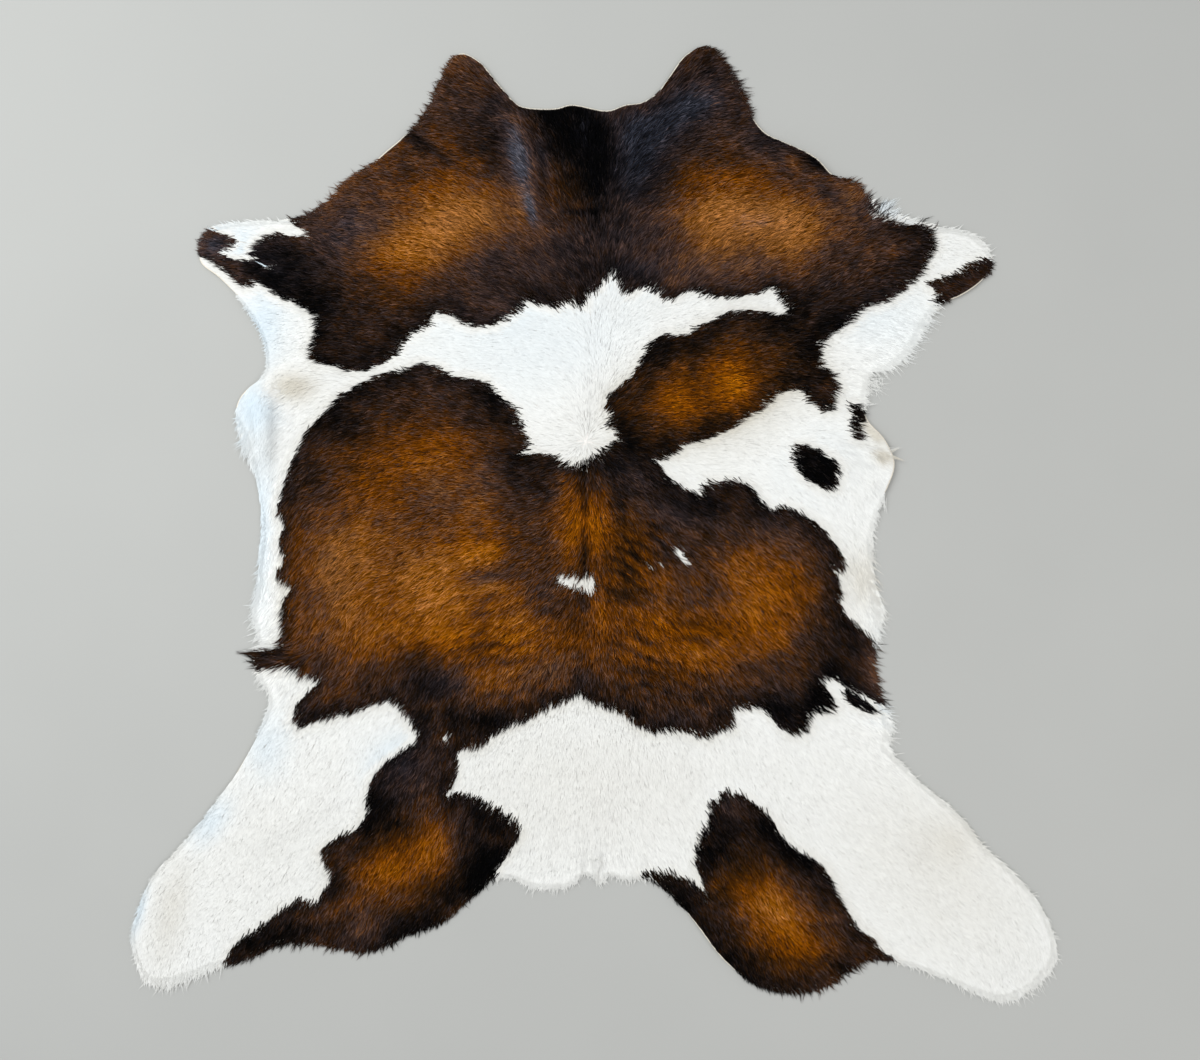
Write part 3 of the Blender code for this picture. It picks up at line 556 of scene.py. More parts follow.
# The same columns, but for the cast and the painted light of the hair there. Above 0, dark hair takes
# a painted gloss that makes it look dusty and cool, and above 1 a painted blue-grey sheen, while
# white hair takes a painted cool light. Below 0, dark hair is rich and warm, and white hair cream,
# which in a few creases is painted shade.
CASTS_AND_PAINTED_LIGHT = (
    # on the dark hair of the neck, the shoulders and the patch right of the saddle, with the painted
    # blue-grey sheen of the neck's ridges where the number is above 1
    (300, 540, 180, 66, -4, 1.0), (210, 462, 150, 40, 0, 1.0), (-220, 550, 130, 60, 0, 0.9),
    (-136, 655, 29, 92, 13, 2.4), (-114, 560, 12, 34, 10, 1.3), (-90, 650, 12, 50, 8, 1.2),
    (-430, 540, 90, 60, 30, 1.0), (-690, 500, 40, 30, 0, 1.5), (-580, 468, 70, 40, -20, 1.0),
    (180, 790, 70, 50, 0, 0.3), (-18, 705, 24, 44, 0, 1.5), (80, 650, 62, 90, -25, 2.1),
    (170, 745, 90, 50, 25, 1.9), (40, 520, 120, 34, 0, 0.8), (-50, 605, 56, 36, 0, -0.8),
    (60, 715, 60, 40, 0, 0.9), (160, 612, 50, 30, 30, -0.8), (-240, 835, 40, 24, 0, 1.0),
    (-242, 745, 50, 50, 0, 0.5), (-180, 740, 24, 50, 0, 0.5), (-70, 480, 90, 50, 0, 0.7),
    (70, 458, 66, 34, 0, 0.8), (-200, 400, 100, 50, 0, 0.5), (470, 575, 74, 36, -35, 0.9),
    (305, 695, 60, 40, -30, 0.9), (350, 640, 60, 30, -25, 0.4), (-310, 600, 60, 30, 0, -0.5),
    (-460, 500, 60, 90, 20, 0.4), (-200, 470, 110, 36, 0, 0.4), (-230, 650, 60, 50, 0, -0.3),
    (260, 625, 130, 34, -5, -0.7), (-390, 430, 90, 50, -20, -0.6), (210, 240, 190, 100, 15, -1.4),
    # on the dark hair of the back and the thighs
    (-470, -100, 46, 130, 0, 0.8), (-330, -50, 110, 60, 0, 0.4), (-550, -90, 26, 120, 0, -0.6),
    (-290, 60, 34, 40, 0, 0.8), (-205, 75, 44, 50, 0, 0.6), (-185, -95, 44, 20, 20, 0.8),
    (-100, -120, 40, 30, 0, 0.5), (60, -60, 50, 110, 0, -1.4), (-20, 0, 34, 90, 0, -1.2),
    (-400, 80, 80, 50, 0, -0.8), (-320, 150, 160, 50, 0, -0.7), (-220, -40, 90, 36, 0, -0.6),
    (-220, -215, 130, 34, 0, -0.9), (-275, -287, 60, 24, 0, 1.0), (-80, -268, 60, 26, 0, 1.0),
    (190, -190, 140, 30, 0, -1.4), (130, -260, 90, 40, 0, -0.8), (350, -120, 70, 50, 0, -0.8),
    (140, 20, 90, 30, -15, 1.0), (72, 88, 60, 34, -10, 0.9), (330, -20, 60, 24, -20, 0.7),
    (514, -262, 26, 56, 0, 1.0), (478, -322, 44, 20, -40, 0.8), (340, -335, 40, 30, 0, 0.5),
    (150, -350, 80, 16, 0, 0.5), (-30, -190, 40, 60, 0, -0.6), (-340, -440, 70, 60, 0, 1.2),
    (-360, -580, 70, 44, 30, -1.2), (-235, -545, 30, 50, 0, 0.4), (-415, -725, 44, 30, 0, 0.7),
    (-300, -650, 90, 60, 10, -0.6), (262, -640, 60, 46, 30, -1.4), (345, -770, 90, 44, -10, -1.4),
    (245, -515, 40, 40, 0, 0.7),
    # on the white hair of the saddle, the flanks and the fore legs, with painted cool light on the
    # left flank's edge and bulge, and painted beige shade in the crease beside the bulge and on the
    # puckered right flank
    (-98, 330, 260, 120, 0, 0.35), (500, 380, 110, 90, 0, 0.4), (390, 130, 90, 100, 0, 0.2),
    (-640, 500, 60, 40, 0, 0.5), (-600, 350, 50, 90, -10, 0.9), (-611, 205, 50, 55, 0, 1.0),
    (-600, 0, 30, 150, 0, 0.8), (-545, 245, 50, 32, 0, -1.2), (501, 165, 28, 12, -54, -1.6),
    (517, 118, 18, 14, -30, -1.5), (480, -100, 30, 60, 0, -0.7),
    # on the white hair of the rump and the hind legs
    (0, -470, 330, 160, 0, -0.25), (-600, -560, 200, 180, -40, -0.14),
    (620, -620, 250, 170, -40, -0.32), (-590, -400, 50, 70, 0, 0.6),
    (-762, -700, 34, 110, -12, -0.45), (-690, -535, 34, 60, -40, 0.8),
    (-818, -690, 14, 60, -14, 0.9), (640, -570, 60, 50, 0, -0.3),
)
# Columns: x, y and half sizes of an ellipse, its turn in degrees, and how much a crease of the
# white hair is in shade there.
WHITE_CREASES = (
    # the left flank, beside its bulge
    (-578, 170, 7, 70, 0, 1.0), (-612, 170, 5, 34, 14, 0.7), (-622, 132, 14, 6, 0, 0.8),
    # beside the root of the tail
    (-20, -615, 6, 40, -6, 0.9), (14, -612, 4, 44, 4, 0.8), (2, -540, 3, 60, 2, 0.5),
    # the parting of the saddle
    (-8, 200, 3, 90, 2, 0.5),
    # the puckered right flank
    (511, 118, 10, 4, -25, 1.6), (500, 102, 14, 4, -15, 1.0), (498, 134, 14, 4, -5, 0.9),
    (466, 142, 24, 4, -6, 0.8), (458, 126, 24, 4, -8, 0.8), (468, 108, 22, 4, -10, 0.7),
)
DARK_PATCHES = (
    NECK_AND_SHOULDERS, BACK_AND_LEFT_THIGH, RIGHT_THIGH, FLANK_SPOT, ARMPIT_MARK, RIGHT_TOE,
    LOIN_FLECK,
)
WHITE_MARKS = (LEFT_FORE_LEG_WHITE, SPINE_MARK, BACK_DASH)
BORDER_BLACK, DEEP_BROWN = 0.28, 0.42
BROWN_DEPTH = (5.0, 60.0)  # depths inside a patch between which it turns from black to brown
GLOW_REACH = (-6.0, 22.0)  # depths between which a glow sets in; black reaches the border
GLOW_LIMITS = (0.05, 1)
FLECK_DEPTH = 8.0  # how far outside the dark hair the middle of a fleck counts
FADE = 1.3  # how steeply an ellipse fades


def ellipse(places, x, y, half_x, half_y, turn):
    """1 in an ellipse's middle, fading with the square of the distance, in half sizes."""
    a = math.radians(turn)
    offset = places - (x, y)
    u = (offset[:, 0] * math.cos(a) + offset[:, 1] * math.sin(a)) / half_x
    v = (offset[:, 1] * math.cos(a) - offset[:, 0] * math.sin(a)) / half_y
    return np.exp(-FADE * (u * u + v * v))


def total(places, table):
    """The ellipses of a table added up at the places, each times the last number of its row."""
    return sum(ellipse(places, *place) * share for *place, share in table)


def inside_patch(corners):
    """How deep each place of the grid lies inside a patch, below 0 outside it."""
    return from_ring(grid, np.array(corners, float))[0]


PATCH = np.max([inside_patch(corners) for corners in DARK_PATCHES], axis=0)
DARK = np.min([PATCH, *(-inside_patch(corners) for corners in WHITE_MARKS)], axis=0)
for x, y, half_long, half_wide, turn in FLECKS:
    fleck = ellipse(grid, x, y, half_long, half_wide + CELL / 2, turn)
    DARK = np.minimum(DARK, FLECK_DEPTH * (1 - 2 * fleck))
CAST_AND_PAINTED_LIGHT = total(grid, CASTS_AND_PAINTED_LIGHT)
CREASE = total(grid, WHITE_CREASES)
# Besides the hair's own glow, this field carries the painted highlights and shade of the neck's
# ridges and creases.
GLOW_AND_PAINTED_LIGHT = BORDER_BLACK + (DEEP_BROWN - BORDER_BLACK) * soft_step(PATCH, *BROWN_DEPTH)
glow_reach = soft_step(PATCH, *GLOW_REACH)
for *place, strength in GLOWS_AND_PAINTED_LIGHT:
    GLOW_AND_PAINTED_LIGHT += strength * ellipse(grid, *place) * (glow_reach if strength > 0 else 1)
GLOW_AND_PAINTED_LIGHT = GLOW_AND_PAINTED_LIGHT.clip(*GLOW_LIMITS)


def make_piece(name, points, corners, sizes, materials, numbers, picked=None):
    """A mesh object from points in millimetres, the corner lists of its faces one after another,
    how many corners each face has, and the attributes of its points."""
    mesh = bpy.data.meshes.new(name)
    mesh.vertices.add(len(points))
    mesh.vertices.foreach_set("co", in_frame(points).astype(np.float32).ravel())
    mesh.loops.add(len(corners))
    mesh.loops.foreach_set("vertex_index", np.asarray(corners, np.int32))
    mesh.polygons.add(len(sizes))
    starts = np.concatenate([[0], np.cumsum(sizes)[:-1]]).astype(np.int32)
    mesh.polygons.foreach_set("loop_start", starts)
    if picked is not None:
        mesh.polygons.foreach_set("material_index", np.asarray(picked, np.int32))
    mesh.update(calc_edges=True)
    mesh.shade_smooth()
    for label, values in numbers.items():
        attribute = mesh.attributes.new(label, "FLOAT", "POINT")
        attribute.data.foreach_set("value", np.asarray(values, np.float32))
    for material in materials:
        mesh.materials.append(material)
    piece = bpy.data.objects.new(name, mesh)
    bpy.context.scene.collection.objects.link(piece)
    return piece


def staggered(step, low, high):
    """Points of an even grid whose every second row is moved by half a step."""
    rows = np.arange(low[1], high[1], step * math.sqrt(3) / 2)
    columns = np.arange(low[0], high[0], step)
    shift = (np.arange(len(rows)) % 2)[:, None] * step / 2
    x = columns[None, :] + shift
    y = np.broadcast_to(rows[:, None], x.shape)
    return np.stack([x, y], axis=-1).reshape(-1, 2)


rim = ring[:, :2] - outward(ring) * SKIN_INSET * ring[:, 3:4]
rim_rows = np.vstack([rim - outward(rim) * depth for depth in RIM_ROWS])
row_depth = np.repeat(RIM_ROWS, len(rim))
rim_rows = rim_rows[from_ring(rim_rows, rim)[0] > ROW_SHARE * row_depth]
inner = staggered(FIELD_STEP, rim.min(axis=0), rim.max(axis=0))
inner = inner[read(EDGE, inner) > FIELD_GAP]
inner = inner[from_ring(inner, rim)[0] > FIELD_GAP]
places = np.vstack([rim, rim_rows, inner])
_, _, triangles, origins, _, _ = delaunay_2d_cdt(
    [Vector(place) for place in places], [], [range(len(rim))], INSIDE_ONLY, SAME_PLACE
)
places = places[[origin[0] for origin in origins]]
triangles = np.array(triangles)
ends = places[triangles]
turned = np.cross(ends[:, 1] - ends[:, 0], ends[:, 2] - ends[:, 0]) < 0
triangles[turned] = triangles[turned][:, ::-1]
to_rim = np.clip(from_ring(places, rim)[0], 0, None)
low = read(HEIGHT, places)
top = np.column_stack([places, low + SKIN])
bottom = np.column_stack([places, low])
count = len(places)
loop = np.arange(len(rim))
after = np.roll(loop, -1)
walls = np.stack([loop, after, after + count, loop + count], axis=1)
skin_corners = np.concatenate(
    [triangles.ravel(), (triangles[:, ::-1] + count).ravel(), walls.ravel()]
)
skin_sizes = [3] * (2 * len(triangles)) + [4] * len(walls)
picked = [0] * len(triangles) + [1] * (len(triangles) + len(walls))

CREAM = (0.72, 0.66, 0.54, 1)
PINK_SKIN = (0.80, 0.76, 0.71, 1)
DARK_SKIN = (0.014, 0.010, 0.009, 1)
BROWN_SKIN = (0.050, 0.022, 0.008, 1)
CUT_BAND = (1.1, 2.2)  # distances from the cut edge between which the leather stops showing
RIM_READ = 20.0  # the greatest distance from the edge that the skin's points carry
SKIN_BORDER = (-3, 3)  # depths inside a patch between which its skin darkens

haired = Finish("haired side of the skin", DARK_SKIN, Roughness=0.8, Specular_IOR_Level=0.2)
shade = haired.blend(haired.number("glow_and_painted_light"), DARK_SKIN, BROWN_SKIN)
shade = haired.blend(haired.number("dark"), PINK_SKIN, shade)
shade = haired.blend(haired.number("rim").within(*CUT_BAND), CREAM, shade)
haired.feed("Base Color", haired.brighten(shade, haired.noise(260.0) * 0.3 + 0.85))

buffed = Finish("buffed flesh side and cut edge", CREAM, Roughness=0.9, Specular_IOR_Level=0.15)
buffed.feed("Base Color", buffed.brighten(CREAM, buffed.noise(38.0, 5.0) * 0.25 + 0.86))
nap = {"Height": buffed.noise(900.0, 4.0), "Distance": 0.0004, "Strength": 0.6}
buffed.feed("Normal", buffed.node("ShaderNodeBump", {}, nap))

twice = {
    "rim": np.minimum(to_rim, RIM_READ),
    "dark": soft_step(read(DARK, places), *SKIN_BORDER),
    "glow_and_painted_light": np.clip(read(GLOW_AND_PAINTED_LIGHT, places), 0, 1),
}
skin = make_piece(
    "tanned_skin", np.vstack([top, bottom]), skin_corners, skin_sizes,
    [haired.material, buffed.material], {name: np.tile(v, 2) for name, v in twice.items()}, picked,
)
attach(skin, "root")
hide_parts("hide")

# ---------------------------------------------------------------------------------------------
# The coat: short, close cattle hair that grows out of the skin and lies down along it, from the
# whorl on the back outwards. It shows as fine pointed locks, each made of a dozen hairs.
COAT_SEED, TUFT_SEED, SHARED_SEED = 20, 5, 7
ROOT_GAP = 2.70  # between the roots of two locks
FIRST_ROOT = 0.5  # depth inside the edge of the outermost roots
LOCK_LENGTH = 18.5
LOCK_WIDTH = 1.35
STATIONS = np.array([0.0, 0.5, 1.0])  # along a lock, as shares of its length
WIDTHS = np.array([0.7, 1.0, 0.0])  # there, as shares of its width
RISE = np.array([0.0, 2.7, 3.6])  # there, over the skin
ROLL = 20.0  # degrees by which locks are turned about their length
TUFT_GAP, WISP_GAP = 11.0, 3.8  # between the middles of two tufts, and of two wisps in them
GATHER = 0.35  # how far the tips of a tuft's locks come together, and again those of a wisp's
GATHER_BEND = 1.5  # the power with which that grows along a lock
TUFT_DEPTH = (5, 40)  # depths inside the edge between which tufts set in
TUFT_CELLS, DRIFT_CELLS = 512, 256  # after which tufts and smooth noise repeat
MIDDLE_IN_CELL = (0.05, 0.95)  # where in its cell a tuft's middle may lie
LENGTH_OF_LOCK, LENGTH_OF_TUFT = (0.7, 1.25), (0.88, 1.12)  # shares of the usual length
WIDTH_OF_LOCK = (0.7, 1.25)  # shares of the usual width
SWING_LOCK, SWING_TUFT, SWING_DRIFT = 11.0, 7.0, 9.0  # degrees off the hair's way
WHITE_CALM = 0.16  # how unruly the white hair is against the dark
WHITE_LONGER = 0.3  # the share by which it is longer
WHITE_BAND = (4, 20)  # distances outside a patch between which it grows to that
CALM_WIDER = 0.6  # the share of the width by which wholly calm hair is wider
COLOUR_AT = (0.55, 0.28)  # where along its outer half a lock takes its colour: mean and spread
COLOUR_LIMITS = (-0.2, 1.2)
FRINGE_LOCK = 3.0  # the least length at the edge from which locks stand out past it
TRIMMED = 1.0  # elsewhere, how far inside the edge the last tips end, at least
MOST_PAST = 40.0  # the most by which a tip is drawn in from past the edge
SHORTEST = 0.6  # the least share of a lock that is left
SETTLINGS = 2  # times that tips past the edge are moved inwards
SEEN_AT = 0.4  # the place of a lock's outer half where what it lies on is read

# The way in which the hair lies, in degrees: 0 to the right, 90 to the neck. Each row is a level
# across the hide: its y, and then the x and the way of places along it. The hair parts along the
# spine and turns round in a whorl near y = 140.
HAIR_WAY = (
    (800, (-240, 155), (-110, 120), (-20, 95), (60, 70), (170, 35), (250, 10)),
    (740, (-280, 172), (-205, 166), (-107, 120), (-35, 96), (82, 50), (172, 22), (244, 8),
     (350, -12)),
    (650, (-480, 185), (-170, 166), (-100, 125), (10, 88), (100, 32), (260, 6), (350, -10)),
    (580, (-350, 180), (-278, 172), (-206, 156), (-134, 148), (-62, 126), (10, 88), (82, 36),
     (154, 28), (226, 12), (460, 14)),
    (500, (-680, 178), (-476, 164), (-386, 172), (-206, 156), (-134, 150), (-62, 136), (82, 48),
     (154, 45), (226, 34), (388, 24), (478, 16), (550, -2), (660, -14)),
    (430, (-530, 170), (-422, 176), (-206, 164), (-116, 148), (-53, 130), (10, 86), (73, 52),
     (154, 45), (226, 26), (424, 18), (514, 6), (586, -24)),
    (355, (-611, 202), (-530, 188), (-422, 180), (-170, 176), (-80, 164), (-26, 136), (10, 86),
     (64, 45), (136, 12), (442, 5), (532, -22)),
    (280, (-593, 218), (-476, 185), (-350, 178), (-224, 166), (-116, 163), (-44, 148), (6, 84),
     (64, 30), (154, 6), (280, 3), (460, -22)),
    (212, (-620, 238), (-548, 230), (-458, 202), (-350, 182), (-134, 166), (-62, 156), (0, 80),
     (42, 30), (154, -4), (370, -14)),
    (152, (-630, 262), (-566, 248), (-494, 214), (-422, 194), (-314, 183), (-44, 172), (14, 10),
     (82, -8), (190, -8), (442, -16)),
    (128, (-580, 248), (-510, 217), (-420, 196), (-200, 178), (-120, 184), (-48, 215), (-17, 270),
     (15, -38), (100, -22), (220, -16), (480, -30)),
    (75, (-580, 248), (-512, 220), (-422, 202), (-332, 186), (-224, 180), (-134, 186), (-62, 214),
     (-12, 270), (32, -52), (118, -36), (226, -24), (352, -32), (478, -48)),
    (-12, (-595, 260), (-530, 228), (-440, 212), (-350, 200), (-242, 190), (-134, 196), (-53, 228),
     (-8, 270), (32, -56), (118, -42), (226, -38), (370, -44), (478, -62)),
    (-115, (-595, 256), (-512, 230), (-404, 215), (-188, 206), (-98, 222), (-44, 240), (-4, 270),
     (35, -61), (118, -45), (352, -46), (478, -62)),
    (-220, (-620, 200), (-548, 232), (-440, 236), (-332, 232), (-224, 220), (-116, 228),
     (-40, 250), (1, 270), (42, -66), (136, -48), (496, -46)),
    (-325, (-598, 236), (-512, 233), (-278, 246), (-152, 244), (-62, 256), (6, 270), (91, -66),
     (190, -56), (442, -42)),
    (-440, (-647, 237), (-260, 246), (-116, 256), (10, 271), (118, -68), (226, -60), (478, -43)),
    (-570, (-728, 231), (-188, 248), (-80, 260), (12, 272), (118, -62), (370, -46), (640, -45)),
    (-680, (-791, 243), (-683, 233), (-548, 235), (-278, 244), (-62, 262), (154, -56), (280, -52),
     (532, -38), (658, -43), (784, -56)),
    (-790, (-804, 260), (-719, 252), (-638, 234), (-476, 238), (352, -60), (460, -42), (586, -42),
     (703, -55), (806, -70)),
)
# Where the hair lies in another way than round it. Columns: x, y and half sizes of an ellipse, its
# turn in degrees, and the way there. The turn is full where the ellipse is above FULL_TURN.
FULL_TURN = 0.6
LOCAL_WAYS = (
    (-575, -232, 60, 22, 0, 186),  # in the dark tuft of the left flank
    (500, 572, 46, 40, -30, 42),  # on the right shoulder, by the leg
    (2, -600, 12, 50, 0, 268),  # at the root of the tail
)
# Where the hair is longer, on the flanks and in the pits of the legs. Columns: x, y and half sizes
# of an ellipse, its turn in degrees, and the share by which the locks are longer there.
LONG_HAIR = (
    (-580, -120, 60, 240, 0, 0.6), (510, -180, 60, 240, 0, 0.5), (520, 320, 60, 90, -30, 0.5),
    (-590, -230, 80, 40, 0, 0.3), (10, -610, 150, 50, 0, 0.2),
)
# Columns: x, y and half sizes of an ellipse, its turn in degrees, the spacing of the dark
# ripples that cross it, and their strength.
RIPPLES = (
    (118, -220, 110, 90, -14, 27.0, 0.34),  # loin, right
    (-170, -190, 110, 120, 12, 31.0, 0.30),  # loin, left
    (70, -65, 60, 108, -28, 25.0, 0.26),  # right beside the spine
)
# Where the locks end clean at the edge. Columns: x, y and half sizes of an ellipse, its turn in
# degrees, and the share by which they stand out less there.
SLEEK_EDGE = ((-607, 46, 34, 92, 0, 1.0), (-612, -262, 24, 14, 0, 0.7))

random = np.random.default_rng(COAT_SEED)


def drift(places, length, seed):
    """Smooth noise from -1 to 1: random values on a square grid of that length, blended between
    the four round each place with a smooth step."""
    table = np.random.default_rng(seed).uniform(-1, 1, (DRIFT_CELLS, DRIFT_CELLS))
    scaled = places / length
    cell = np.floor(scaled).astype(int)
    share = scaled - cell
    share = share * share * (3 - 2 * share)
    (i, j), (next_i, next_j) = (np.moveaxis(c % DRIFT_CELLS, -1, 0) for c in (cell, cell + 1))
    u, v = share[..., 0], share[..., 1]
    low = table[i, j] * (1 - u) + table[next_i, j] * u
    high = table[i, next_j] * (1 - u) + table[next_i, next_j] * u
    return low * (1 - v) + high * v


def blend_levels(unit):
    """One coordinate of the hair's way over the grid: first along x between the places of each
    row of the table, then along y between the rows."""
    heights, levels = [], []
    for height, *places in HAIR_WAY:
        x, ways = np.array(places).T
        heights.append(height)
        levels.append(np.interp(across, x, unit(np.radians(ways))))
    lines = [np.interp(along, heights[::-1], column[::-1]) for column in np.transpose(levels)]
    return np.stack(lines, axis=1).ravel()


TO_RIGHT, TO_NECK = blend_levels(np.cos), blend_levels(np.sin)
for *place, degrees in LOCAL_WAYS:
    share = ellipse(grid, *place).clip(0, FULL_TURN) / FULL_TURN
    TO_RIGHT += share * (math.cos(math.radians(degrees)) - TO_RIGHT)
    TO_NECK += share * (math.sin(math.radians(degrees)) - TO_NECK)
UP_X, UP_Y = np.gradient(EDGE.reshape(len(along), len(across)), CELL)[::-1]
UP_X, UP_Y = UP_X.ravel(), UP_Y.ravel()

# A ripple is a sine across the hair, bent by smooth noise and broken up along its length.
RIPPLE_BEND = ((13, 48, 31), (5, 19, 32))  # how far, the noise's length and its seed
RIPPLE_BREAKS = ((44, 22), 33)  # that noise's lengths along x and y, and its seed
BETWEEN_RIPPLES = 0.4  # how light the hair is between them, against how dark they are
RIPPLE = np.zeros(len(grid))
for *place, turn, spacing, strength in RIPPLES:
    a = math.radians(turn)
    v = grid[:, 1] * math.cos(a) - grid[:, 0] * math.sin(a)
    for bend, *noise in RIPPLE_BEND:
        v += bend * drift(grid, *noise)
    broken = 0.5 + 0.5 * drift(grid, *RIPPLE_BREAKS)
    wave = np.sin(math.tau * v / spacing).clip(-BETWEEN_RIPPLES, 1)
    RIPPLE -= strength * broken * wave * ellipse(grid, *place, turn)


def way_at(places, swing):
    """The hair's way at the places, as unit vectors turned by swing degrees."""
    angle = np.arctan2(read(TO_NECK, places), read(TO_RIGHT, places)) + np.radians(swing)
    return np.stack([np.cos(angle), np.sin(angle)], axis=-1)


def nearest_tuft(places, gap):
    """The middle of each place's tuft and the tuft's number. The middles are the points of a
    square grid, each moved at random inside its cell."""
    size = (TUFT_CELLS, TUFT_CELLS, 2)
    moved = np.random.default_rng(TUFT_SEED).uniform(*MIDDLE_IN_CELL, size)
    cell = np.floor(places / gap).astype(int)
    best = np.full(len(places), np.inf)
    middle, number = np.zeros_like(places), np.zeros(len(places), int)
    for di in (-1, 0, 1):
        for dj in (-1, 0, 1):
            near = cell + (di, dj)
            i, j = near[:, 0] % TUFT_CELLS, near[:, 1] % TUFT_CELLS
            candidate = (near + moved[i, j]) * gap
            distance = ((places - candidate) ** 2).sum(axis=1)
            closer = distance < best
            best[closer], middle[closer] = distance[closer], candidate[closer]
            number[closer] = (i * TUFT_CELLS + j)[closer]
    return middle, number


roots = staggered(ROOT_GAP, ring[:, :2].min(axis=0), ring[:, :2].max(axis=0))
roots = roots + random.uniform(-0.5, 0.5, roots.shape) * ROOT_GAP
roots = roots[read(EDGE, roots) > FIRST_ROOT]
locks = len(roots)
tuft_middle, tuft = nearest_tuft(roots, TUFT_GAP)
wisp_middle, wisp = nearest_tuft(roots, WISP_GAP)
tufts = np.random.default_rng(SHARED_SEED)


def shared(group, low, high):
    """A random number for each lock that is the same all over its tuft or wisp."""
    return tufts.uniform(low, high, TUFT_CELLS**2)[group]


# Each lock starts along the hair's way, bends with it, and leans to the middle of its tuft.
length = LOCK_LENGTH * random.uniform(*LENGTH_OF_LOCK, locks) * shared(tuft, *LENGTH_OF_TUFT)
longer = total(roots, LONG_HAIR)
length *= 1 + longer + WHITE_LONGER * soft_step(-read(DARK, roots), *WHITE_BAND)
swing = SWING_LOCK * random.normal(0, 1, locks) + SWING_TUFT * shared(tuft, -1, 1)
swing += SWING_DRIFT * drift(roots, 55, 21)
line = [roots]
for share in np.diff(STATIONS):
    line.append(line[-1] + way_at(line[-1], swing) * (share * length)[:, None])
line = np.stack(line, axis=1)
way = way_at(roots, swing)
side = np.stack([-way[:, 1], way[:, 0]], axis=1)
reading = np.clip(random.normal(*COLOUR_AT, locks), *COLOUR_LIMITS)[:, None]
decisive = line[:, 1] + reading * (line[:, 2] - line[:, 1])
is_dark = read(DARK, decisive) > 0
calm = np.where(is_dark, 1.0, WHITE_CALM)
inside = soft_step(read(EDGE, roots), *TUFT_DEPTH)
for middle, share in ((tuft_middle, inside), (wisp_middle, 1.0)):
    aside = ((roots - middle) * side).sum(axis=1) * GATHER * calm * share
    line -= side[:, None] * aside[:, None, None] * (STATIONS**GATHER_BEND)[None, :, None]

# Where its tip would hang too far over the edge, a lock is shorter, and then grows further in.
tips = line[:, -1]
lock = read(LOCK, tips) * (1 - total(tips, SLEEK_EDGE))
uneven = 0.2 * shared(tuft, -1, 1) + 0.4 * shared(wisp, -0.8, 1)
free = lock * (uneven + random.uniform(-0.2, 0.5, locks))
reach = np.where(lock > FRINGE_LOCK, free, -TRIMMED - random.uniform(0, 1.6, locks))
past = np.clip(-read(EDGE, tips) - reach, 0, MOST_PAST)
short = np.clip(1 - past / length, SHORTEST, 1)
line = roots[:, None] + (line - roots[:, None]) * short[:, None, None]
for _ in range(SETTLINGS):
    tips = line[:, -1]
    past = np.clip(-read(EDGE, tips) - reach, 0, MOST_PAST)
    inwards = np.stack([read(UP_X, tips), read(UP_Y, tips)], axis=1)
    inwards /= np.hypot(*inwards.T)[:, None] + 1e-6
    line += (inwards * past[:, None])[:, None]

# What a lock's outer half lies on decides its colour. At a border, one lock's colour is read near
# its tip and the next one's near its middle, so that light and dark hair mix there. Glow, tone, and
# the cast with its painted light then differ a little from place to place, tuft to tuft, wisp to wisp
# and lock to lock. Where a pair of numbers stands, the first is for dark hair and the second for
# white.
TONE_OF_LOCK, TONE_OF_WISP = (1.1, 0.7), (0.8, 2.7)
DARKEST_TONE, LIGHTEST_TONE = -3, 1.7  # of dark hair
SHEEN_CASTS = (0.9, 1.5)  # casts between which brown hair takes the painted blue-grey sheen
CREAM_BAND = (-22, 0)  # depths between which white hair turns cream; below 0 is outside
LONG_TONE, CREASE_TONE = 6, 10  # how much more long white hair differs, and creases darken it
seen = (1 - SEEN_AT) * line[:, 1] + SEEN_AT * line[:, 2]
decisive = line[:, 1] + reading * (line[:, 2] - line[:, 1])
border = read(DARK, decisive) + 1.5 * shared(wisp, -1, 1) + 2.0 * drift(seen, 6, 24)
is_dark = (border > 0).astype(float)
glow_and_painted_light = read(GLOW_AND_PAINTED_LIGHT, seen) + read(RIPPLE, seen)
glow_and_painted_light += 0.05 * shared(tuft, -1, 1) + 0.055 * random.normal(0, 1, locks)
glow_and_painted_light += 0.06 * drift(seen, 26, 25) + 0.035 * drift(seen, 11, 27)
tone = random.normal(0, 1, locks) * np.where(is_dark > 0, *TONE_OF_LOCK)
tone += shared(wisp, -1, 1) * np.where(is_dark > 0, *TONE_OF_WISP)
tone = np.where(is_dark > 0, tone.clip(DARKEST_TONE, LIGHTEST_TONE), tone)
mixed = 0.18 * drift(seen, 18, 26) + 0.14 * shared(wisp, -1, 1)
mixed += 0.1 * random.normal(0, 1, locks)
cast_and_painted_light = read(CAST_AND_PAINTED_LIGHT, seen)
sheen_share = soft_step(cast_and_painted_light, *SHEEN_CASTS)
dark_cast_and_painted_light = np.where(sheen_share > 0, cast_and_painted_light + mixed, np.minimum(cast_and_painted_light + mixed, 1))
cream = (0.3 + cast_and_painted_light.clip(0, 1)) * soft_step(border, *CREAM_BAND)
cast_and_painted_light = np.where(is_dark > 0, dark_cast_and_painted_light, cast_and_painted_light + 0.15 * mixed - cream)
glow_and_painted_light += 0.07 * sheen_share * random.normal(0, 1, locks)
tone *= np.where(is_dark > 0, 1, 1 + LONG_TONE * longer)
tone -= CREASE_TONE * read(CREASE, seen) * (1 - is_dark)

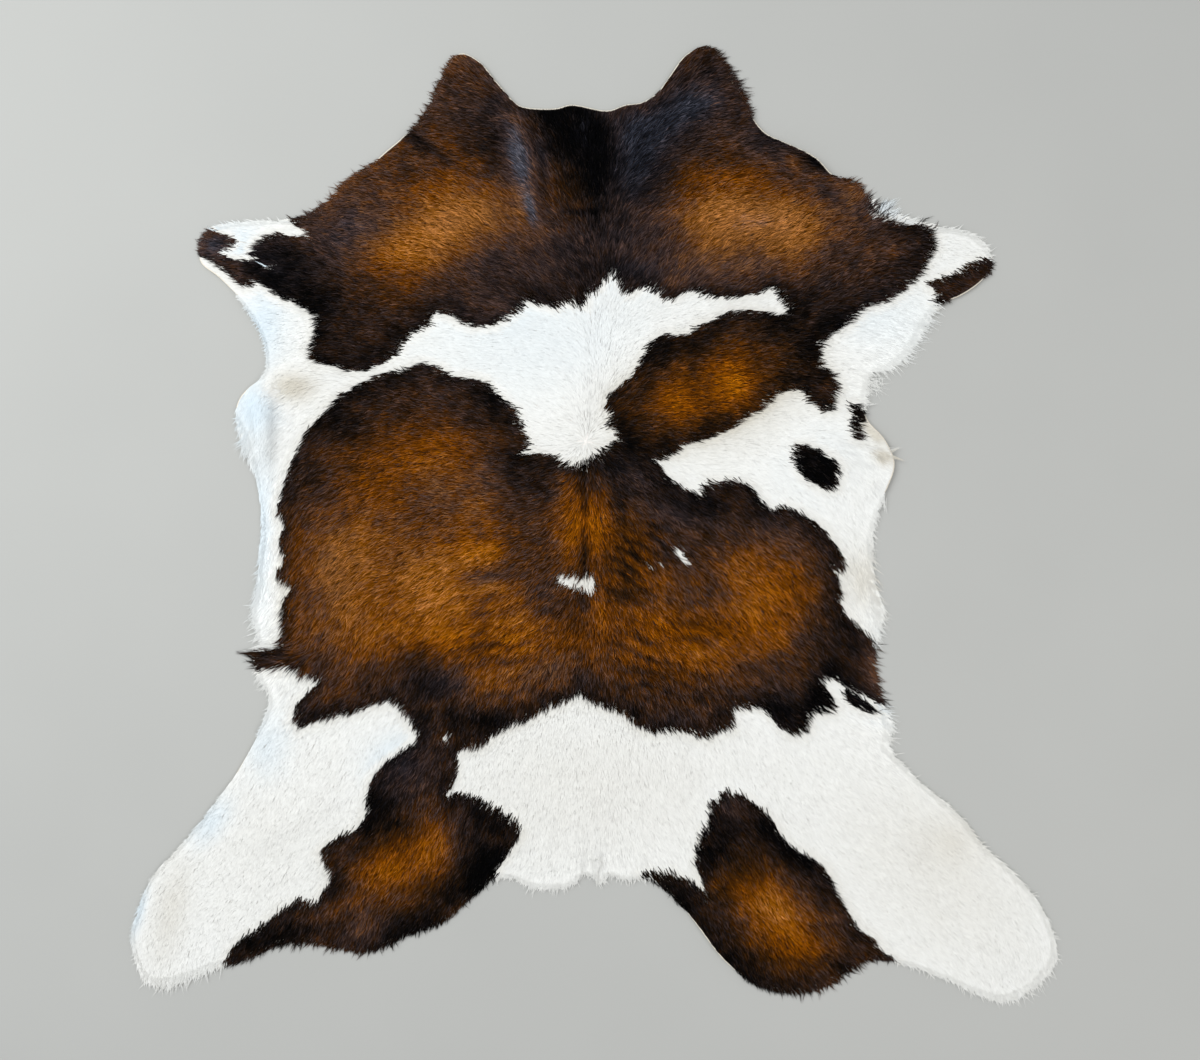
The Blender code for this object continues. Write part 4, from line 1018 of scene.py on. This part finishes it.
EDGE_FALL = 8.0  # past the edge, how far out the hair has come down by the skin's thickness
LEAST_HEIGHT, LOWEST = 0.35, 0.12  # of a blade's middle line, and of its sides over the floor
EDGE_COAT = 0.42  # share of the coat's height past the edge
COAT_DEPTH = (-8, 28)  # depths inside the edge between which it grows to its full height
CALM_RISE = 0.30  # share of the rise that the calmest hair keeps
MOST_ROLL = 48  # degrees


def hair_rest(line, depth):
    """How high hair lies at the least: on the skin's upper side, and past the cut edge lower by
    an even slope, down to its underside."""
    return read(HEIGHT, line) + SKIN * np.clip(1 + depth / EDGE_FALL, 0, 1)


calm = np.where(is_dark > 0.5, 1.0, WHITE_CALM)[:, None]
depth = read(EDGE, line)
fullness = EDGE_COAT + (1 - EDGE_COAT) * soft_step(depth, *COAT_DEPTH)
swell = 0.7 * drift(line, 38, 22) + 0.45 * drift(line, 15, 23)
unruly = random.uniform(-0.5, 0.5, locks) + shared(tuft, -0.4, 0.4) + shared(wisp, -0.7, 0.7)
raised = RISE * (CALM_RISE + (1 - CALM_RISE) * calm) + STATIONS * calm * (unruly[:, None] + swell)
height = np.maximum(hair_rest(line, depth) + LEAST_HEIGHT + fullness * raised, LEAST_HEIGHT)

roll = np.radians(np.clip(random.normal(0, ROLL, locks), -MOST_ROLL, MOST_ROLL))[:, None] * calm
width = random.uniform(*WIDTH_OF_LOCK, locks)[:, None] + CALM_WIDER * (1 - calm)
half = 0.5 * LOCK_WIDTH * width * WIDTHS


def make_blades(line, height, half, roll):
    """The points of tapered blades: two at each station but the last, to the left and right of
    the blade's line by half its width there, and one at its tip."""
    forward = np.gradient(line, axis=1)
    forward /= np.hypot(forward[..., 0], forward[..., 1])[..., None] + 1e-9
    flat, upright = np.cos(roll), np.broadcast_to(np.sin(roll), half.shape)
    left = np.stack([-forward[..., 1] * flat, forward[..., 0] * flat, upright], axis=-1)
    spine = np.concatenate([line, height[..., None]], axis=-1)
    edges = np.stack([spine + left * half[..., None], spine - left * half[..., None]], axis=2)
    pairs = edges[:, :-1].reshape(len(line), -1, 3)
    points = np.concatenate([pairs, spine[:, -1:]], axis=1)
    points[..., 2] = np.maximum(points[..., 2], LOWEST)
    return points


lock_points = make_blades(line, height, half, roll)

# The colour ramps run from black to light hair, with a colour at each of GLOW_STOPS: plain brown
# hair, a painted gloss that makes hair look dusty, rich red-brown hair, and a painted blue-grey
# sheen on black hair.
GLOW_STOPS = (0.08, 0.22, 0.36, 0.50, 0.67, 0.84, 1.00)
PLAIN_BROWN = (
    (0.0006, 0.0006, 0.0006), (0.0055, 0.0036, 0.0026), (0.0220, 0.0122, 0.0080),
    (0.0560, 0.0250, 0.0100), (0.1600, 0.0450, 0.0025), (0.2450, 0.0780, 0.0045),
    (0.3300, 0.1180, 0.0110),
)
PAINTED_GLOSS_BROWN = (
    (0.0006, 0.0006, 0.0009), (0.0047, 0.0040, 0.0045), (0.0200, 0.0140, 0.0140),
    (0.0500, 0.0280, 0.0225), (0.1150, 0.0500, 0.0190), (0.2250, 0.0870, 0.0190),
    (0.3250, 0.1280, 0.0340),
)
RICH_BROWN = (
    (0.0006, 0.0005, 0.0004), (0.0060, 0.0032, 0.0012), (0.0290, 0.0108, 0.0016),
    (0.0760, 0.0220, 0.0008), (0.1650, 0.0440, 0.0002), (0.2600, 0.0770, 0.0004),
    (0.3600, 0.1120, 0.0010),
)
PAINTED_BLUE_GREY_SHEEN = (
    (0.0010, 0.0010, 0.0012), (0.0065, 0.0070, 0.0095), (0.0180, 0.0195, 0.0270),
    (0.0330, 0.0350, 0.0470), (0.0620, 0.0600, 0.0740), (0.0950, 0.0900, 0.1050),
    (0.1300, 0.1250, 0.1400),
)
WHITE_HAIR = (0.760, 0.758, 0.720, 1)
# Painted cool light on white hair, and cream hair that in the flanks' creases is painted shade.
PAINTED_COOL_LIGHT_WHITE = (0.628, 0.710, 0.750, 1)
CREAM_AND_PAINTED_SHADE_HAIR = (0.585, 0.550, 0.468, 1)
EVEN_LIGHT = 1.22  # the light of a strand that shows no gloss
PAINTED_GLOSS, CAST_GLOSS_SHARE = 1.5, 1.5  # how much its light over that, and its cast, turn it to the painted gloss
STRANDS_ACROSS, STRANDS_ALONG, STRANDS_APART = 4.0, 3.4, 91.0  # the noise within a lock

coat = Finish("lying cattle hair", (*PLAIN_BROWN[2], 1), Specular_IOR_Level=0.015)
plain_hair, painted_gloss_hair, rich_hair, blue_grey_sheen_hair = (
    coat.ramp(coat.number("glow_and_painted_light"), GLOW_STOPS, colours)
    for colours in (PLAIN_BROWN, PAINTED_GLOSS_BROWN, RICH_BROWN, PAINTED_BLUE_GREY_SHEEN)
)
strand = coat.node(
    "ShaderNodeCombineXYZ", {},
    {
        "X": coat.number("across") * STRANDS_ACROSS + coat.number("tone") * STRANDS_APART,
        "Y": coat.number("along") * STRANDS_ALONG,
    },
)
strand = coat.noise(1.0, 2.0, place=strand)

# A lock's light grows from its root to its tip, with its tone, and with the noise of its strands:
# much in brown hair, whose light rises with the exponent of the tone, and little in white hair.
is_brown = coat.number("dark")
brown_light = (coat.number("along") + 0.45) * (coat.number("tone") * 0.39).maths("EXPONENT")
brown_light = brown_light * (strand * 1.1 + 0.45)
white_light = (coat.number("along") * 0.04 + 0.96) * (coat.number("tone") * 0.017 + 1.0)
light = is_brown * brown_light + (1 - is_brown) * white_light * (strand * 0.10 + 0.95)

# The lighter a brown hair is, the more of the painted gloss it takes, which has no colour of its
# own. Above a cast of 1, brown hair takes the painted blue-grey sheen.
cast_and_painted_light_here = coat.number("cast_and_painted_light")
painted_gloss = (brown_light - EVEN_LIGHT) * PAINTED_GLOSS + cast_and_painted_light_here * CAST_GLOSS_SHARE
brown = coat.blend(painted_gloss.within(0, 1), plain_hair, painted_gloss_hair)
brown = coat.blend(painted_gloss.within(0, -1), brown, rich_hair)
brown = coat.blend(cast_and_painted_light_here.within(1, 2), brown, blue_grey_sheen_hair)
# White hair takes the painted cool light where its cast is above 0, and cream where it is below 0,
# which in the flanks' creases is painted shade.
white = coat.blend(cast_and_painted_light_here.within(0, 1), WHITE_HAIR, PAINTED_COOL_LIGHT_WHITE)
white = coat.blend(cast_and_painted_light_here.within(0, -1), white, CREAM_AND_PAINTED_SHADE_HAIR)
coat.feed("Base Color", coat.brighten(coat.blend(is_brown, white, brown), light))
coat.feed("Roughness", 0.65 - strand * 0.2)

BLADE_CORNERS = np.array([0, 1, 3, 2, 2, 3, 4])
BLADE_SIZES = [4, 3]
BLADE_ALONG = np.array([0, 0, 0.5, 0.5, 1])
BLADE_ACROSS = np.array([0, 1, 0, 1, 0.5])


def lay_blades(name, points, values):
    """Blades with five points each and the values of the blades. OFBake lays them out as they
    are seen from above."""
    count = len(points)
    corners = (BLADE_CORNERS[None, :] + 5 * np.arange(count)[:, None]).ravel()
    numbers = {label: np.repeat(value, 5) for label, value in values.items()}
    numbers.update(along=np.tile(BLADE_ALONG, count), across=np.tile(BLADE_ACROSS, count))
    points = points.reshape(-1, 3)
    piece = make_piece(name, points, corners, BLADE_SIZES * count, [coat.material], numbers)
    low, high = points.min(axis=0), points.max(axis=0)
    seen = ((points - low) / (high - low))[:, :2] * 0.98 + 0.01
    layout = piece.data.uv_layers.new(name="OFBake")
    layout.data.foreach_set("uv", seen[corners].astype(np.float32).ravel())
    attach(piece, "root")
    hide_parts("hide")
    return piece


COAT_PIECES = ("coat_neck", "coat_shoulders", "coat_back", "coat_loins", "coat_hind_legs")
from_neck = np.argsort(-roots[:, 1], kind="stable")
values = {"dark": is_dark, "glow_and_painted_light": glow_and_painted_light, "cast_and_painted_light": cast_and_painted_light, "tone": tone}
coat_pieces = [
    lay_blades(name, lock_points[chosen], {label: value[chosen] for label, value in values.items()})
    for name, chosen in zip(COAT_PIECES, np.array_split(from_neck, len(COAT_PIECES)))
]

# ---------------------------------------------------------------------------------------------
# The coat's longest hairs stand out past its edge: in wisps that narrow to the tip, all along it,
# and in a few loose tufts.
HAIR_SEED = 31
EDGE_WISP = 3.0  # along the edge, between two wisps
WISP_HAIRS = 5
WISP_REACH = (0.8, 2.2)  # lengths of wisps, as shares of the locks' length at the edge
LONGEST = 36.0  # length of a wisp
LEAST_LOCK = 4  # the least length of locks at the edge at which wisps grow
WISP_ROOT = 0.6  # share of a lock's length by which a wisp's roots lie inside the edge
WISP_SPREAD = (1.5, 0.6)  # how far a wisp's hairs are apart, at their roots and at their tips
HAIR_WIDTH = 0.62
HAIR_LEAN = 1.8  # how much a wisp follows the coat's way rather than pointing straight out
HAIR_TURN, HAIR_BOW = 14, 0.11  # spread of their turns in degrees, and of their bow by the length
TUFT_BOW = 0.1
HAIR_LENGTH = (0.65, 1.1)  # shares of a wisp's length
HAIR_HEIGHT, HAIR_LIFT = 1.6, 3.4  # over the skin at the edge, and how much higher inside it
HAIR_DEPTH = (6, 34)  # depths between which they are lifted to that
TIP_HEIGHT = (-1.4, 2.2)  # how far tips sink and rise

# Columns: x, y of a tuft's middle, how far its roots spread, the way it points, how far its tips
# spread, how long its hairs are, and how many there are.
LOOSE_TUFTS = (
    (-582, -223, 6, 187, 2.0, 40, 110), (-592, -228, 5, 181, 1.6, 38, 110),  # the left flank's tuft
    (-604, -233, 4, 177, 1.6, 40, 90),
    (-622, 160, 4, 222, 3.4, 34, 40), (-617, 146, 4, 238, 3.0, 32, 30),  # under the left bulge
    (515, 560, 4, 68, 2.5, 28, 40), (521, 559, 4, 46, 3.5, 34, 50),  # on the right shoulder
    (531, 555, 5, 34, 4, 26, 40),
    (524, 120, 3, -12, 1.5, 34, 16), (526, 130, 3, 20, 2, 24, 10),  # on the puckered right flank
    (516, 48, 4, -75, 2, 32, 14),
    (4, -606, 4, -88, 1.2, 42, 110),  # at the root of the tail
    (-589, 461, 1.0, 152, 0.8, 22, 10),  # white hairs in the dark of the left fore leg
    (498, 255, 10, -30, 8, 26, 50),  # in the right armpit
)

random = np.random.default_rng(HAIR_SEED)
wisps = smooth_ring(OUTLINE, EDGE_WISP)
out = outward(wisps)
haired_edge = wisps[:, 3] > LEAST_LOCK
wisps, out = wisps[haired_edge], out[haired_edge]
at_edge, wisp_lock = wisps[:, :2], wisps[:, 3]
wisp_roots = at_edge - out * (WISP_ROOT * wisp_lock)[:, None]
wisp_lock = wisp_lock * (1 + total(at_edge, LONG_HAIR)) * (1 - total(at_edge, SLEEK_EDGE))
aim = out + HAIR_LEAN * way_at(wisp_roots, 0)
turn = np.arctan2(aim[:, 1], aim[:, 0]) + np.radians(random.normal(0, HAIR_TURN, len(wisps)))
reach = np.minimum(wisp_lock * random.uniform(*WISP_REACH, len(wisps)), LONGEST)
bow = random.normal(0, HAIR_BOW, len(wisps))
spreads = [np.full(len(wisps), spread) for spread in WISP_SPREAD]
groups = [[np.repeat(v, WISP_HAIRS, axis=0)] for v in (wisp_roots, turn, reach, bow, *spreads)]
for x, y, radius, way, spread, long, number in LOOSE_TUFTS:
    values = ((x, y), math.radians(way), long, random.normal(0, TUFT_BOW), radius, spread)
    for group, value in zip(groups, values):
        group.append(np.repeat([value], number, axis=0))
middle, turn, reach, bow, root_spread, tip_spread = (np.concatenate(group) for group in groups)
ahead = np.stack([np.cos(turn), np.sin(turn)], axis=1)
bases = middle + random.normal(0, 1, middle.shape) * root_spread[:, None]
tips = middle + ahead * (reach * random.uniform(*HAIR_LENGTH, len(middle)))[:, None]
tips += random.normal(0, 1, middle.shape) * tip_spread[:, None]
bent = np.stack([-ahead[:, 1], ahead[:, 0]], axis=1) * (bow * reach)[:, None]
line = np.stack([bases, (bases + tips) / 2 + bent, tips], axis=1)
depth = read(EDGE, line)
height = hair_rest(line, depth) + HAIR_HEIGHT + HAIR_LIFT * soft_step(depth, *HAIR_DEPTH)
height += STATIONS * random.uniform(*TIP_HEIGHT, len(bases))[:, None]
height = np.maximum(height, LEAST_HEIGHT)
half = 0.5 * HAIR_WIDTH * np.broadcast_to(WIDTHS, height.shape)
hair_points = make_blades(line, height, half, np.zeros((len(bases), 1)))
values = {
    "dark": (read(DARK, bases) > 0).astype(float),
    "glow_and_painted_light": read(GLOW_AND_PAINTED_LIGHT, bases) + 0.06 * random.normal(0, 1, len(bases)),
    "cast_and_painted_light": read(CAST_AND_PAINTED_LIGHT, bases),
    "tone": random.uniform(-1, 1, len(bases)),
}
coat_pieces.append(lay_blades("edge_hairs", hair_points, values))

# The sheet's flat size is that of the skin's rim, and its area is half the sum of the cross
# products of the rim's neighbouring points.
ahead = np.roll(rim, -1, axis=0)
